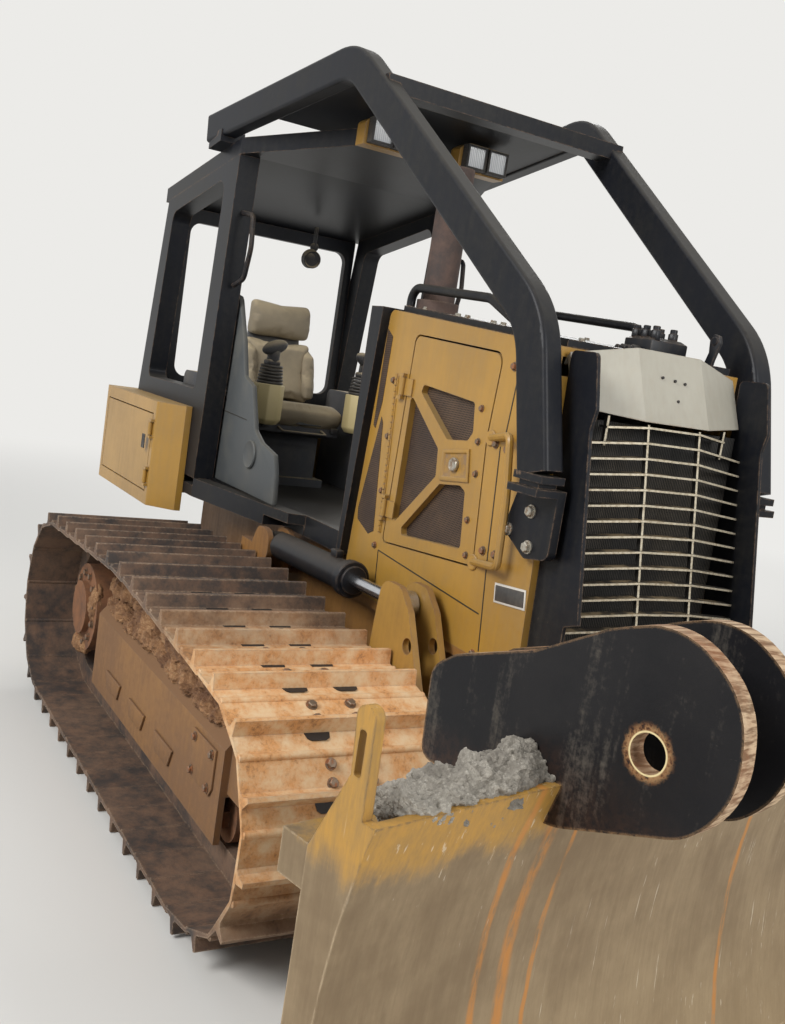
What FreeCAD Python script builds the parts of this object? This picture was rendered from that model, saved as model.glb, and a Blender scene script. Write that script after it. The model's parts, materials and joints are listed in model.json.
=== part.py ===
import FreeCAD
import Part
import Sketcher
import math
import os

# A ten-tonne crawler bulldozer with wide tracks, an open canopy, forestry sweeps and an angling blade.
# Millimetres, X forward, Y to the machine's left, Z up from the ground.
# Sizes along X are counted from the middle of the tracks, and every node moves back by mid_offset
# at the end, which puts the origin under the middle of the whole machine.

Vector = FreeCAD.Vector

SIZES = (
    # name, number, meaning
    ("mid_offset", 171.5, "from the middle of the tracks forward to the middle of the machine"),
    ("side_offset", 67.5, "from the tracks' middle plane to the middle of the machine with its blade turned"),
    ("track_gauge", 1750, "between the two tracks' middle planes"),
    ("shoe_width", 660, "track shoe along Y"),
    ("shoe_count", 37, "shoes on one track"),
    ("sprocket_back", 1155, "sprocket axle behind the middle of the tracks"),
    ("idler_front", 945, "idler axle ahead of the middle of the tracks"),
    ("sprocket_pitch_radius", 331, "link pins' circle on the sprocket"),
    ("idler_pitch_radius", 299, "link pins' circle on the idler"),
    ("idler_raise", 28, "lowest link pin on the idler above the roller run"),
    ("link_half", 45, "half the height of a track link"),
    ("link_width", 190, "two rows of links along Y"),
    ("shoe_plate", 12, "shoe plate"),
    ("grouser_height", 45, "grouser bar above the shoe plate"),
    ("grouser_tip", 14, "grouser bar at its tip, along the track"),
    ("carrier_back", 100, "carrier roller behind the middle of the tracks"),
    ("carrier_lift", 705, "link pins over the carrier roller above the roller run"),
    ("sprocket_rim", 274.2, "sprocket under the links"),
    ("idler_rim", 241, "idler under the links"),
    ("roller_radius", 84, "track roller tread"),
    ("roller_count", 7, "track rollers on one side"),
    ("roller_first", 830, "last roller behind the middle of the tracks"),
    ("roller_pitch", 243, "between two track rollers"),
    ("running_gap", 0.3, "between faces that run on each other"),
    ("seat_gap", 0.3, "between a piece and what it rests on"),
    ("pin_gap", 0.06, "between a pin and its bore, on the radius"),
    ("hull_half", 330, "half the width of the main frame"),
    ("hull_floor", 332, "ground clearance"),
    ("hull_rear", 1640, "rear end of the main frame"),
    ("hull_front", 1190, "front end of the main frame"),
    ("hull_top", 880, "top of the main frame under the hood"),
    ("deck_top", 990, "top of the main frame under the cab"),
    ("final_radius", 175, "final drive housing"),
    ("hub_radius", 200, "final drive hub outside the sprocket"),
    ("hub_face", 1015, "outer face of the hub from the middle plane"),
    ("hood_half", 375, "half the width of the hood"),
    ("hood_wall", 30, "hood wall"),
    ("hood_rear", 160, "rear edge of the hood"),
    ("hood_front", 1215, "front edge of the hood"),
    ("hood_top_rear", 1940, "hood top at the rear"),
    ("hood_top_front", 1862, "hood top at the front"),
    ("hood_foot", 885, "lower edge of the hood"),
    ("door_rear", 350, "engine door's hinge edge"),
    ("door_front", 915, "engine door's front edge"),
    ("door_low", 1110, "engine door's lower edge at the hinge"),
    ("door_gap", 6, "gap round a door"),
    ("guard_half", 352, "outside of the radiator guard from the middle plane"),
    ("guard_plate", 12, "radiator guard plate"),
    ("guard_foot", 660, "lower end of the radiator guard"),
    ("bar_count", 14, "bars of the grille"),
    ("bar_pitch", 44.6, "between two bars"),
    ("bar_top", 1623, "highest bar"),
    ("bar_thick", 6, "bar along Z"),
    ("bar_deep", 34, "bar along X"),
    ("bar_fold", 52, "a bar's ends behind its middle"),
    ("bar_droop", 25, "a bar's ends below its middle"),
    ("crease", 104, "the grille's folds from the middle plane"),
    ("cab_half", 610, "half the width of the canopy"),
    ("cab_post", 95, "canopy post across"),
    ("post_front", 1060, "front edge of the middle post's foot"),
    ("cab_rear", 2110, "rear edge of the canopy's rear post at its foot"),
    ("sill_low", 1000, "underside of the cab floor"),
    ("sill_high", 1085, "top of the door sill"),
    ("sill_bend", 477, "sill's outer face where it steps in to clear the lift cylinder"),
    ("sill_front", 410, "sill's outer face at the front"),
    ("rail_low", 1405, "underside of the canopy's side rail"),
    ("rail_high", 1492, "top of the canopy's side rail"),
    ("roof_rear", 2470, "roof top at its rear edge"),
    ("roof_mid", 2622, "roof top over the middle posts"),
    ("roof_nose", 2660, "roof top at its front edge"),
    ("roof_thick", 70, "roof panel with its edge beam"),
    ("roof_front", 400, "front edge of the roof behind the middle of the tracks"),
    ("tank_half", 750, "half the width of the rear tank"),
    ("tank_rear", 2240, "rear face of the tank"),
    ("tank_low", 905, "underside of the tank"),
    ("tank_high", 1405, "top of the tank"),
    ("service_front", -1336, "service door's hinge edge"),
    ("sweep_foot_x", 1250, "middle of the sweep's foot"),
    ("sweep_foot_y", 430, "middle of the sweep's foot from the middle plane"),
    ("sweep_foot_z", 1500, "lower end of the sweep tube"),
    ("sweep_splay", 4.9, "degrees that each sweep spreads toward the rear"),
    ("sweep_deep", 125, "sweep tube in its own plane"),
    ("sweep_wide", 74, "sweep tube across"),
    ("pivot_back", 100, "push frame pivot behind the middle of the tracks"),
    ("pivot_height", 450, "push frame pivot above the ground"),
    ("arm_inner", 415, "inner face of the push frame's arm"),
    ("arm_outer", 535, "outer face of the push frame's arm"),
    ("arm_high", 170, "push frame's arm along Z"),
    ("eye_x", 720, "lift cylinder's front eye"),
    ("eye_z", 970, "lift cylinder's front eye above the ground"),
    ("mount_back", 350, "lift cylinder's rear eye behind the middle of the tracks"),
    ("mount_z", 942, "lift cylinder's rear eye above the ground"),
    ("swing_x", 1650, "blade's angling axis"),
    ("blade_angle", 12, "degrees that the parked blade is turned, right end forward"),
    ("angle_eye_x", 1110, "angle cylinder's rear eye"),
    ("angle_eye_y", 492, "angle cylinder's rear eye from the middle plane"),
    ("angle_z", 600, "angle cylinders' height"),
    ("angle_reach", 130, "angle cylinder's front eye ahead of the angling axis"),
    ("angle_arm", 340, "angle cylinder's front eye to the side of the angling axis"),
    ("tower_x", 1755, "rear face of the tilt cylinder's tower"),
    ("tilt_eye_y", 330, "tilt cylinder's eyes from the middle plane"),
    ("tilt_eye_z", 880, "tilt cylinder's eyes above the ground"),
    ("tilt_eye_x", 1830, "tilt cylinder's middle line"),
    ("ball_z", 420, "blade's tilting axis above the ground"),
    ("blade_width", 3220, "blade along Y"),
    ("blade_foot", 20, "cutting edge above the ground"),
    ("blade_top", 1065, "top edge of the blade"),
    ("blade_front", 2035, "front of the blade's top edge"),
    ("blade_hollow", 75, "depth of the blade's curve"),
    ("blade_plate", 22, "moldboard"),
    ("ear_outer", 1180, "outer face of the outer ear plate"),
    ("ear_plate", 38, "ear plate"),
    ("ear_gap", 130, "between the two ear plates"),
    ("ear_hole", 34, "radius of the ear's pin hole"),
    ("drawbar_hole", 24, "radius of the drawbar's pin hole"),
)


class Size:
    """A length that knows its number and the sheet expression that it comes from."""

    def __init__(self, number, text):
        self.number = number
        self.text = text

    def __add__(self, other):
        other = size(other)
        return Size(self.number + other.number, f"({self.text} + {other.text})")

    def __radd__(self, other):
        return size(other) + self

    def __sub__(self, other):
        other = size(other)
        return Size(self.number - other.number, f"({self.text} - {other.text})")

    def __rsub__(self, other):
        return size(other) - self

    def __mul__(self, other):
        other = size(other)
        return Size(self.number * other.number, f"({self.text} * {other.text})")

    def __rmul__(self, other):
        return size(other) * self

    def __truediv__(self, other):
        other = size(other)
        return Size(self.number / other.number, f"({self.text} / {other.text})")

    def __neg__(self):
        return Size(-self.number, f"(-1 * {self.text})")


def size(value):
    """The value as a Size, whether it is one already or a plain number."""
    return value if isinstance(value, Size) else Size(float(value), f"({float(value):.6f})")


class Names:
    """The sheet's sizes by name."""


doc = FreeCAD.newDocument("bulldozer")
sheet = doc.addObject("Spreadsheet::Sheet", "sizes")
s = Names()
for row, (name, number, meaning) in enumerate(SIZES, start=1):
    sheet.set(f"A{row}", str(number))
    sheet.setAlias(f"A{row}", name)
    sheet.set(f"B{row}", meaning)
    setattr(s, name, Size(float(number), f"sizes.{name}"))
doc.recompute()

nodes = {}
SIDES = ((-1, "right"), (1, "left"))


def bind(thing, prop, value):
    """Ties one property of an object to the sheet."""
    thing.setExpression(prop, size(value).text)


def ordered(pair):
    """Two sizes, the lower one first."""
    low, high = size(pair[0]), size(pair[1])
    return (low, high) if low.number <= high.number else (high, low)


def box(name, x, y, z):
    """A block between two planes along each axis."""
    thing = doc.addObject("Part::Box", name)
    for prop, place, pair in (("Length", "x", x), ("Width", "y", y), ("Height", "z", z)):
        low, high = ordered(pair)
        bind(thing, prop, high - low)
        bind(thing, f"Placement.Base.{place}", low)
    return thing


TURNS = {"X": (Vector(0, 1, 0), 90), "Y": (Vector(1, 0, 0), -90), "Z": (Vector(0, 0, 1), 0)}


def cylinder(name, axis, radius, middle, span):
    """A cylinder along an axis: middle gives the two other coordinates, in X, Y, Z order."""
    thing = doc.addObject("Part::Cylinder", name)
    low, high = ordered(span)
    turn, degrees = TURNS[axis]
    thing.Placement = FreeCAD.Placement(Vector(), FreeCAD.Rotation(turn, degrees))
    bind(thing, "Radius", radius)
    bind(thing, "Height", high - low)
    across = [place for place in "XYZ" if place != axis]
    for place, value in zip(across, middle):
        bind(thing, f"Placement.Base.{place.lower()}", value)
    bind(thing, f"Placement.Base.{axis.lower()}", low)
    return thing


def corner(sketch, index, point, radius, ways):
    """Rounds one corner of an outline. ways holds the unit vectors in and out."""
    way_in, way_out = ways
    turn = math.atan2(way_in.x * way_out.y - way_in.y * way_out.x, way_in.dot(way_out))
    reach = radius.number * math.tan(abs(turn) / 2)
    start = point - way_in * reach
    side = 1 if turn > 0 else -1
    centre = start + Vector(-way_in.y, way_in.x, 0) * side * radius.number
    begin = math.atan2(start.y - centre.y, start.x - centre.x)
    low, high = (begin, begin + turn) if turn > 0 else (begin + turn, begin)
    circle = Part.Circle(centre, Vector(0, 0, 1), radius.number)
    arc = sketch.addGeometry(Part.ArcOfCircle(circle, low, high), False)
    return arc, (1, 2) if turn > 0 else (2, 1), start, point + way_out * reach


def outline(sketch, points):
    """A closed outline of lines. Each point is (a, b) or, where its corner is round, (a, b, radius)."""
    places = [Vector(size(p[0]).number, size(p[1]).number, 0) for p in points]
    count = len(points)
    ways = [(places[(i + 1) % count] - places[i]).normalize() for i in range(count)]
    rounds = {}
    leave = list(places)
    reach = list(places)
    for i, point in enumerate(points):
        if len(point) > 2:
            radius = size(point[2])
            arc, ends, start, end = corner(sketch, i, places[i], radius, (ways[i - 1], ways[i]))
            rounds[i] = (arc, ends, radius)
            reach[i] = start
            leave[i] = end
    lines = []
    for i in range(count):
        line = Part.LineSegment(leave[i], reach[(i + 1) % count])
        lines.append(sketch.addGeometry(line, False))
    for i, point in enumerate(points):
        before, after = lines[i - 1], lines[i]
        if i in rounds:
            arc, ends, radius = rounds[i]
            mark = sketch.addGeometry(Part.Point(places[i]), True)
            sketch.addConstraint(Sketcher.Constraint("Tangent", before, 2, arc, ends[0]))
            sketch.addConstraint(Sketcher.Constraint("Tangent", arc, ends[1], after, 1))
            sketch.addConstraint(Sketcher.Constraint("PointOnObject", mark, 1, before))
            sketch.addConstraint(Sketcher.Constraint("PointOnObject", mark, 1, after))
            held = sketch.addConstraint(Sketcher.Constraint("Radius", arc, radius.number))
            bind(sketch, f"Constraints[{held}]", radius)
            place = (mark, 1)
        else:
            sketch.addConstraint(Sketcher.Constraint("Coincident", before, 2, after, 1))
            place = (after, 1)
        fix(sketch, place, point)


def fix(sketch, place, point):
    """Holds a point of the sketch at two sizes from the sketch's origin."""
    for kind, value in zip(("DistanceX", "DistanceY"), point[:2]):
        value = size(value)
        held = sketch.addConstraint(Sketcher.Constraint(kind, -1, 1, place[0], place[1], value.number))
        bind(sketch, f"Constraints[{held}]", value)


def hole(sketch, a, b, radius):
    """A round hole in an outline."""
    circle = Part.Circle(Vector(size(a).number, size(b).number, 0), Vector(0, 0, 1), size(radius).number)
    ring = sketch.addGeometry(circle, False)
    fix(sketch, (ring, 3), (a, b))
    held = sketch.addConstraint(Sketcher.Constraint("Radius", ring, size(radius).number))
    bind(sketch, f"Constraints[{held}]", radius)


def base_plane(body, role):
    return [plane for plane in body.Origin.OriginFeatures if plane.Role == role + "_Plane"][0]


def new_sketch(body, name, plane, offset):
    """A sketch on one of the body's own planes, moved along that plane's normal."""
    sketch = body.newObject("Sketcher::SketchObject", name)
    sketch.AttachmentSupport = [(base_plane(body, plane), "")]
    sketch.MapMode = "FlatFace"
    bind(sketch, "AttachmentOffset.Base.z", offset)
    return sketch


def plate(name, plane, points, span, holes=(), windows=()):
    """An outline padded between two planes: XZ along Y, XY along Z, YZ along X."""
    body = doc.addObject("PartDesign::Body", name)
    low, high = ordered(span)
    sketch = new_sketch(body, name + "_outline", plane, -high if plane == "XZ" else low)
    outline(sketch, points)
    for window in windows:
        outline(sketch, window)
    for a, b, radius in holes:
        hole(sketch, a, b, radius)
    pad = body.newObject("PartDesign::Pad", name + "_pad")
    pad.Profile = sketch
    bind(pad, "Length", high - low)
    return body


def ruled(name, plane, sections):
    """A solid whose flat facets join outlines on parallel planes. sections holds (offset, points)."""
    body = doc.addObject("PartDesign::Body", name)
    sketches = []
    for number, (offset, points) in enumerate(sections):
        sketch = new_sketch(body, f"{name}_section{number}", plane, -size(offset) if plane == "XZ" else offset)
        outline(sketch, points)
        sketches.append(sketch)
    loft = body.newObject("PartDesign::AdditiveLoft", name + "_loft")
    loft.Profile = sketches[0]
    loft.Sections = sketches[1:]
    loft.Ruled = True
    return body


def joined(name, parts):
    """Solids welded into one."""
    thing = doc.addObject("Part::MultiFuse", name)
    thing.Shapes = list(parts)
    thing.Refine = True
    return thing


def without(name, base, tools):
    """A solid with other solids cut out of it."""
    tool = tools[0] if len(tools) == 1 else joined(name + "_tools", tools)
    thing = doc.addObject("Part::Cut", name)
    thing.Base = base
    thing.Tool = tool
    return thing


def common(name, one, other):
    """What two solids share."""
    thing = doc.addObject("Part::Common", name)
    thing.Base = one
    thing.Tool = other
    return thing


def together(name, parts):
    """Like pieces that don't touch, in one node."""
    thing = doc.addObject("Part::Compound", name)
    thing.Links = list(parts)
    return thing


def mirrored(name, source):
    """The same piece on the machine's other side."""
    thing = doc.addObject("Part::Mirroring", name)
    thing.Source = source
    thing.Normal = Vector(0, 1, 0)
    return thing


def feature(name, shape):
    """A piece whose shape is worked out by the functions in this file."""
    thing = doc.addObject("Part::Feature", name)
    thing.Shape = shape
    return thing


def node(name, thing, turned=False):
    """A finished piece, set back from the middle of the tracks. What turns with the blade is turned first."""
    piece = doc.addObject("Part::Compound", name + "_node")
    piece.Label = name
    piece.Links = [thing]
    back = -s.mid_offset
    across = -s.side_offset
    if turned:
        piece.Placement = FreeCAD.Placement(Vector(), FreeCAD.Rotation(Vector(0, 0, 1), s.blade_angle.number))
        bind(piece, "Placement.Rotation.Angle", s.blade_angle)
        back = back + Size(0, "(sizes.swing_x * (1 - cos(sizes.blade_angle * 1 deg)))")
        across = across - Size(0, "(sizes.swing_x * sin(sizes.blade_angle * 1 deg))")
    bind(piece, "Placement.Base.x", back)
    bind(piece, "Placement.Base.y", across)
    nodes[name] = piece


def both_sides(name, thing):
    """A piece on the right side, and its mirror image on the left."""
    node(name + "_right", thing)
    node(name + "_left", mirrored(name + "_twin", thing))


def bent_path(points, bends):
    """Straight runs joined by arcs that touch them. bends holds one radius for each inner point."""
    edges = []
    at = points[0]
    for number, radius in enumerate(bends, start=1):
        here = points[number]
        way_in = (here - points[number - 1]).normalize()
        way_out = (points[number + 1] - here).normalize()
        turn = way_in.getAngle(way_out)
        reach = radius * math.tan(turn / 2)
        start = here - way_in * reach
        end = here + way_out * reach
        inward = (way_out - way_in).normalize()
        middle = here + inward * (reach / math.sin(turn / 2) - radius)
        edges.append(Part.LineSegment(at, start).toShape())
        edges.append(Part.Arc(start, middle, end).toShape())
        at = end
    edges.append(Part.LineSegment(at, points[-1]).toShape())
    return Part.Wire(edges)


def swept(path, section):
    """A solid tube: the section moved along the path."""
    return path.makePipeShell([section], True, False)


def round_tube(points, bends, radius):
    """A bent round bar."""
    path = bent_path(points, bends)
    way = (points[1] - points[0]).normalize()
    return swept(path, Part.Wire(Part.makeCircle(radius, points[0], way)))


# Tracks: one loop of shoes with its chain, on each side

def tangent_point(centre, radius, point, side):
    """Where a line from a point touches a circle, in the XZ plane."""
    dx, dz = point[0] - centre[0], point[1] - centre[1]
    away = math.hypot(dx, dz)
    angle = math.atan2(dz, dx) + side * math.acos(radius / away)
    return centre[0] + radius * math.cos(angle), centre[1] + radius * math.sin(angle)


def pin_line(number):
    """The link pins' line of one track as a closed list of evenly spaced (x, z) points."""
    run = s.grouser_height.number + s.shoe_plate.number + s.link_half.number
    back = (-s.sprocket_back.number, run + s.sprocket_pitch_radius.number)
    front = (s.idler_front.number, run + s.idler_raise.number + s.idler_pitch_radius.number)
    carrier = (-s.carrier_back.number, run + s.carrier_lift.number)
    first = (-s.sprocket_back.number, run)
    last = (s.roller_first.number - 2 * s.running_gap.number, run)
    radii = s.sprocket_pitch_radius.number, s.idler_pitch_radius.number
    top_back = tangent_point(back, radii[0], carrier, 1)
    top_front = tangent_point(front, radii[1], carrier, -1)
    low_front = tangent_point(front, radii[1], last, 1)

    def flat(point):
        return Vector(point[0], 0, point[1])

    def line(one, other):
        return Part.LineSegment(flat(one), flat(other)).toShape()

    def arc(one, middle, other):
        return Part.Arc(flat(one), flat(middle), flat(other)).toShape()

    loop = Part.Wire([
        line(last, first),
        arc(first, (back[0] - radii[0], back[1]), top_back),
        line(top_back, carrier),
        line(carrier, top_front),
        arc(top_front, (front[0] + radii[1], front[1]), low_front),
        line(low_front, last),
    ])
    points = loop.discretize(Number=number + 1)[:-1]
    return [(p.x, p.z) for p in points]


def offset_points(pins, table):
    """For each shoe, points given as (share of its length, height above the pin line)."""
    result = []
    count = len(pins)
    for i in range(count):
        x0, z0 = pins[i]
        x1, z1 = pins[(i + 1) % count]
        long = math.hypot(x1 - x0, z1 - z0)
        ux, uz = (x1 - x0) / long, (z1 - z0) / long
        nx, nz = -uz, ux
        for share, height in table:
            result.append((x0 + ux * long * share + nx * height, z0 + uz * long * share + nz * height))
    return result


def ring(outer, inner, y_low, y_high):
    """A closed band between two outlines in the XZ plane."""
    def face(points):
        corners = [Vector(x, y_low, z) for x, z in points]
        return Part.Face(Part.makePolygon(corners + [corners[0]]))
    band = face(outer).cut(face(inner))
    return band.extrude(Vector(0, y_high - y_low, 0))


def track_loop(side):
    pins = pin_line(int(s.shoe_count.number))
    top = s.link_half.number + s.shoe_plate.number
    tip = top + s.grouser_height.number
    long = 1 / 171
    wide = s.grouser_tip.number * long
    shoe = ((0.02, top), (0.56, top), (0.62, top + 9), (0.66, tip), (0.66 + wide, tip), (0.80, top), (0.97, top - 5))
    outer = offset_points(pins, shoe)
    under = offset_points(pins, ((0.02, s.link_half.number), (0.97, s.link_half.number - 5)))
    chain = offset_points(pins, ((0.1, -s.link_half.number), (0.9, -s.link_half.number)))
    middle = side * s.track_gauge.number / 2
    half = s.shoe_width.number / 2
    shoes = ring(outer, under, middle - half, middle + half)
    links = ring(offset_points(pins, ((0.02, s.link_half.number + 1), (0.97, s.link_half.number - 4))), chain,
                 middle - s.link_width.number / 2, middle + s.link_width.number / 2)
    return shoes.fuse(links)


for side, hand in SIDES:
    node(f"track_{hand}", feature(f"track_{hand}", track_loop(side)))

run_height = s.grouser_height + s.shoe_plate + s.link_half
sprocket_height = run_height + s.sprocket_pitch_radius
idler_height = run_height + s.idler_raise + s.idler_pitch_radius
carrier_height = run_height + s.carrier_lift - s.link_half - 6
track_mid = s.track_gauge / 2
roller_height = run_height + s.link_half + s.roller_radius + s.running_gap
frame_inner = track_mid - 165
frame_outer = track_mid + 150
skirt = 22

# Undercarriage: sprockets, idlers, rollers and the two track frames

hubs = []
for side, hand in SIDES:
    rim = cylinder(f"sprocket_rim_{hand}", "Y", s.sprocket_rim,
                   (-s.sprocket_back, sprocket_height), (side * (track_mid - 32), side * (track_mid + 32)))
    hub = cylinder(f"sprocket_hub_{hand}", "Y", s.hub_radius,
                   (-s.sprocket_back, sprocket_height), (side * (s.hull_half + 250.3), side * s.hub_face))
    cap = cylinder(f"sprocket_cap_{hand}", "Y", s.hub_radius * 0.6,
                   (-s.sprocket_back, sprocket_height), (side * s.hub_face, side * (s.hub_face + 28)))
    hubs.append(joined(f"sprocket_{hand}", [rim, hub, cap]))
node("sprockets", together("sprockets", hubs))

wheels = []
for side, hand in SIDES:
    rim = cylinder(f"idler_rim_{hand}", "Y", s.idler_rim, (s.idler_front, idler_height),
                   (side * (track_mid - 80), side * (track_mid + 80)))
    rib = cylinder(f"idler_boss_{hand}", "Y", 70, (s.idler_front, idler_height),
                   (side * (track_mid - 112), side * (track_mid + 112)))
    wheels.append(joined(f"idler_{hand}", [rim, rib]))
node("idlers", together("idlers", wheels))

rollers = []
for side, hand in SIDES:
    for i in range(int(s.roller_count.number)):
        x = -s.roller_first + s.roller_pitch * i
        tread = cylinder(f"roller_{hand}_{i}", "Y", s.roller_radius, (x, roller_height),
                         (side * (track_mid - 85), side * (track_mid + 85)))
        axle = box(f"roller_axle_{hand}_{i}", (x - 26, x + 26), (side * (frame_inner + skirt), side * (frame_outer - skirt)),
                   (roller_height - 26, roller_height + 26))
        rollers.append(joined(f"track_roller_{hand}_{i}", [tread, axle]))
    tread = cylinder(f"carrier_{hand}", "Y", 58, (-s.carrier_back, carrier_height - 58 - s.running_gap),
                     (side * (track_mid - 40), side * (track_mid + 85)))
    rollers.append(tread)
node("track_rollers", together("track_rollers", rollers))

beam_low = roller_height + s.roller_radius + 12
beam_top = beam_low + 305
frame_rear = s.roller_first + 40
frame_front = s.roller_first - 135

beam = plate("frame_beam", "YZ", [
    (-frame_outer, roller_height - 62),
    (-frame_outer, beam_top - 150),
    (-frame_outer + 120, beam_top),
    (-frame_inner, beam_top),
    (-frame_inner, roller_height - 62),
    (-frame_inner - skirt, roller_height - 62),
    (-frame_inner - skirt, beam_low),
    (-frame_outer + skirt, beam_low),
    (-frame_outer + skirt, roller_height - 62),
], (-frame_rear, frame_front))
yokes = []
for number, (low, high) in enumerate(((frame_inner + 40, frame_inner + 52), (frame_outer - 38, frame_outer - 26))):
    yokes.append(plate(f"yoke_{number}", "XZ", [
        (frame_front, idler_height - 90),
        (s.idler_front + 60, idler_height - 90, 40),
        (s.idler_front + 60, idler_height + 90, 40),
        (frame_front, idler_height + 90),
    ], (-low, -high)))
stand = box("carrier_stand", (-s.carrier_back - 35, -s.carrier_back + 35), (-track_mid + 45, -track_mid + 75),
            (beam_top - 5, carrier_height - 20))
seat = cylinder("carrier_pin", "Y", 28, (-s.carrier_back, carrier_height - 58 - s.running_gap),
                (-track_mid + 40 + s.running_gap, -track_mid + 60))
frame_half = joined("track_frame", [beam] + yokes + [stand, seat])
node("track_frames", together("track_frames", [frame_half, mirrored("track_frame_twin", frame_half)]))

# Main frame: hull, final drive housings, cross bar and the push frame's pivots

hull = plate("hull", "XZ", [
    (-s.hull_rear, s.hull_floor + 140),
    (-s.hull_rear + 160, s.hull_floor),
    (s.hull_front - 330, s.hull_floor),
    (s.hull_front, s.hull_floor + 150),
    (s.hull_front, s.hull_top),
    (s.hood_rear + 20, s.hull_top),
    (s.hood_rear - 60, s.deck_top),
    (-s.hull_rear, s.deck_top),
], (-s.hull_half, s.hull_half))
hull_parts = [hull]
for side, hand in SIDES:
    hull_parts.append(cylinder(f"final_drive_{hand}", "Y", s.final_radius, (-s.sprocket_back, sprocket_height),
                               (side * (s.hull_half - 10), side * (s.hull_half + 250))))
    hull_parts.append(box(f"final_bracket_{hand}", (-s.sprocket_back + 206, -frame_rear + 90),
                          (side * (s.hull_half - 10), side * frame_inner), (sprocket_height - 90, sprocket_height + 90)))
    hull_parts.append(box(f"hood_ledge_{hand}", (s.hood_rear, s.hull_front - 30),
                          (side * (s.hull_half - 10), side * s.hood_half), (s.hood_foot - 30, s.hood_foot)))
    hull_parts.append(cylinder(f"pivot_boss_{hand}", "Y", 105, (-s.pivot_back, s.pivot_height),
                               (side * (s.hull_half - 10), side * (s.arm_inner - 6))))
    hull_parts.append(cylinder(f"pivot_pin_{hand}", "Y", 45, (-s.pivot_back, s.pivot_height),
                               (side * (s.hull_half - 10), side * (s.arm_outer + 12))))
    hull_parts.append(box(f"cross_bar_{hand}", (-640, -480), (side * (s.hull_half - 10), side * frame_inner),
                          (370, 500)))
    for number, (low, high) in enumerate(((s.arm_inner, s.arm_inner + 22), (s.arm_outer - 22, s.arm_outer))):
        hull_parts.append(plate(f"lift_lug_{hand}_{number}", "XZ", [
            (-s.mount_back - 130, s.mount_z - 150),
            (-s.mount_back - 20, s.mount_z - 150),
            (-s.mount_back + 62, s.mount_z - 40, 40),
            (-s.mount_back + 62, s.mount_z + 62, 55),
            (-s.mount_back - 62, s.mount_z + 62, 55),
            (-s.mount_back - 130, s.mount_z - 60),
        ], (side * low, side * high)))
    hull_parts.append(cylinder(f"lift_pin_{hand}", "Y", 28, (-s.mount_back, s.mount_z),
                               (side * (s.arm_inner + 5), side * (s.arm_outer - 5))))
    hull_parts.append(box(f"lift_root_{hand}", (-s.mount_back - 220, -s.mount_back - 110),
                          (side * (s.hull_half - 10), side * s.arm_outer), (s.mount_z - 150, s.mount_z - 20)))
node("main_frame", joined("main_frame", hull_parts))

drawbar = plate("drawbar_plate", "XY", [
    (-s.hull_rear, -110),
    (-s.hull_rear, 110),
    (-s.hull_rear - 300, 70, 60),
    (-s.hull_rear - 300, -70, 60),
], (s.hull_floor + 170, s.hull_floor + 220), holes=[(-s.hull_rear - 220, 0, s.drawbar_hole)])
node("drawbar", drawbar)

# Hood, engine and radiator

slope = (s.hood_top_rear - s.hood_top_front) / (s.hood_front - s.hood_rear)


def hood_line(x):
    """Height of the hood's top at x."""
    return s.hood_top_rear - (size(x) - s.hood_rear) * slope


def hood_back(z):
    """Where the hood's raked rear edge lies at a height."""
    return s.hood_rear - 70 + (size(z) - s.hood_foot) * (Size(70, "70") / (s.hood_top_rear - s.hood_foot))


door_points = [
    (s.door_rear + 20, hood_line(s.door_rear) - 72, 30),
    (s.door_front - 10, hood_line(s.door_front) - 62, 40),
    (s.door_front - 28, s.door_low + 450, 20),
    (s.door_front + 8, s.door_low + 46, 30),
    (s.door_rear, s.door_low, 20),
]
door_hole = [
    (s.door_rear + 20 - s.door_gap, hood_line(s.door_rear) - 72 + s.door_gap, 30),
    (s.door_front - 10 + s.door_gap, hood_line(s.door_front) - 62 + s.door_gap, 40),
    (s.door_front - 28 + s.door_gap, s.door_low + 450, 20),
    (s.door_front + 8 + s.door_gap, s.door_low + 46 - s.door_gap, 30),
    (s.door_rear - s.door_gap, s.door_low - s.door_gap, 20),
]
shell = plate("hood_outer", "XZ", [
    (s.hood_rear - 70, s.hood_foot),
    (s.hood_front + 18, s.hood_foot),
    (s.hood_front - 15, s.hood_top_front),
    (s.hood_rear, s.hood_top_rear, 30),
], (-s.hood_half, s.hood_half))
hollow = plate("hood_inner", "XZ", [
    (s.hood_rear - 200, s.hood_foot - 50),
    (s.hood_front + 100, s.hood_foot - 50),
    (s.hood_front + 100, hood_line(s.hood_front + 100) - s.hood_wall),
    (s.hood_rear - 200, hood_line(s.hood_rear - 200) - s.hood_wall),
], (-s.hood_half + s.hood_wall, s.hood_half - s.hood_wall))
opening = plate("door_opening", "XZ", door_hole, (-s.hood_half - 20, s.hood_half + 20))
strip = plate("fixed_vent", "XZ", [
    (207, 1547), (223, 1526), (272, 1130), (235, 1112), (140, 1150), (132, 1190),
], (-s.hood_half - 20, s.hood_half + 20))
under_nose = box("under_nose", (s.hood_front - 58 - s.seat_gap, s.hood_front + 200), (-400, 400), (1780, 2000))
shell_body = without("shell_body", shell, [hollow, opening, strip, under_nose])


def hinge_pins(name, x, y, turned_in, heights):
    """Two upright hinge pins with their end blocks. turned_in is the way from the pin to its own wall."""
    parts = []
    for number, z in enumerate(heights):
        parts.append(cylinder(f"{name}_pin_{number}", "Z", 6, (x, y), (z - 12, z + 72)))
        for low in (z - 16, z + 64):
            parts.append(box(f"{name}_block_{number}_{low}", (x - 6 * turned_in, x + 26 * turned_in),
                             (y - 7, y + 11), (low, low + 12)))
    return parts


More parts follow.
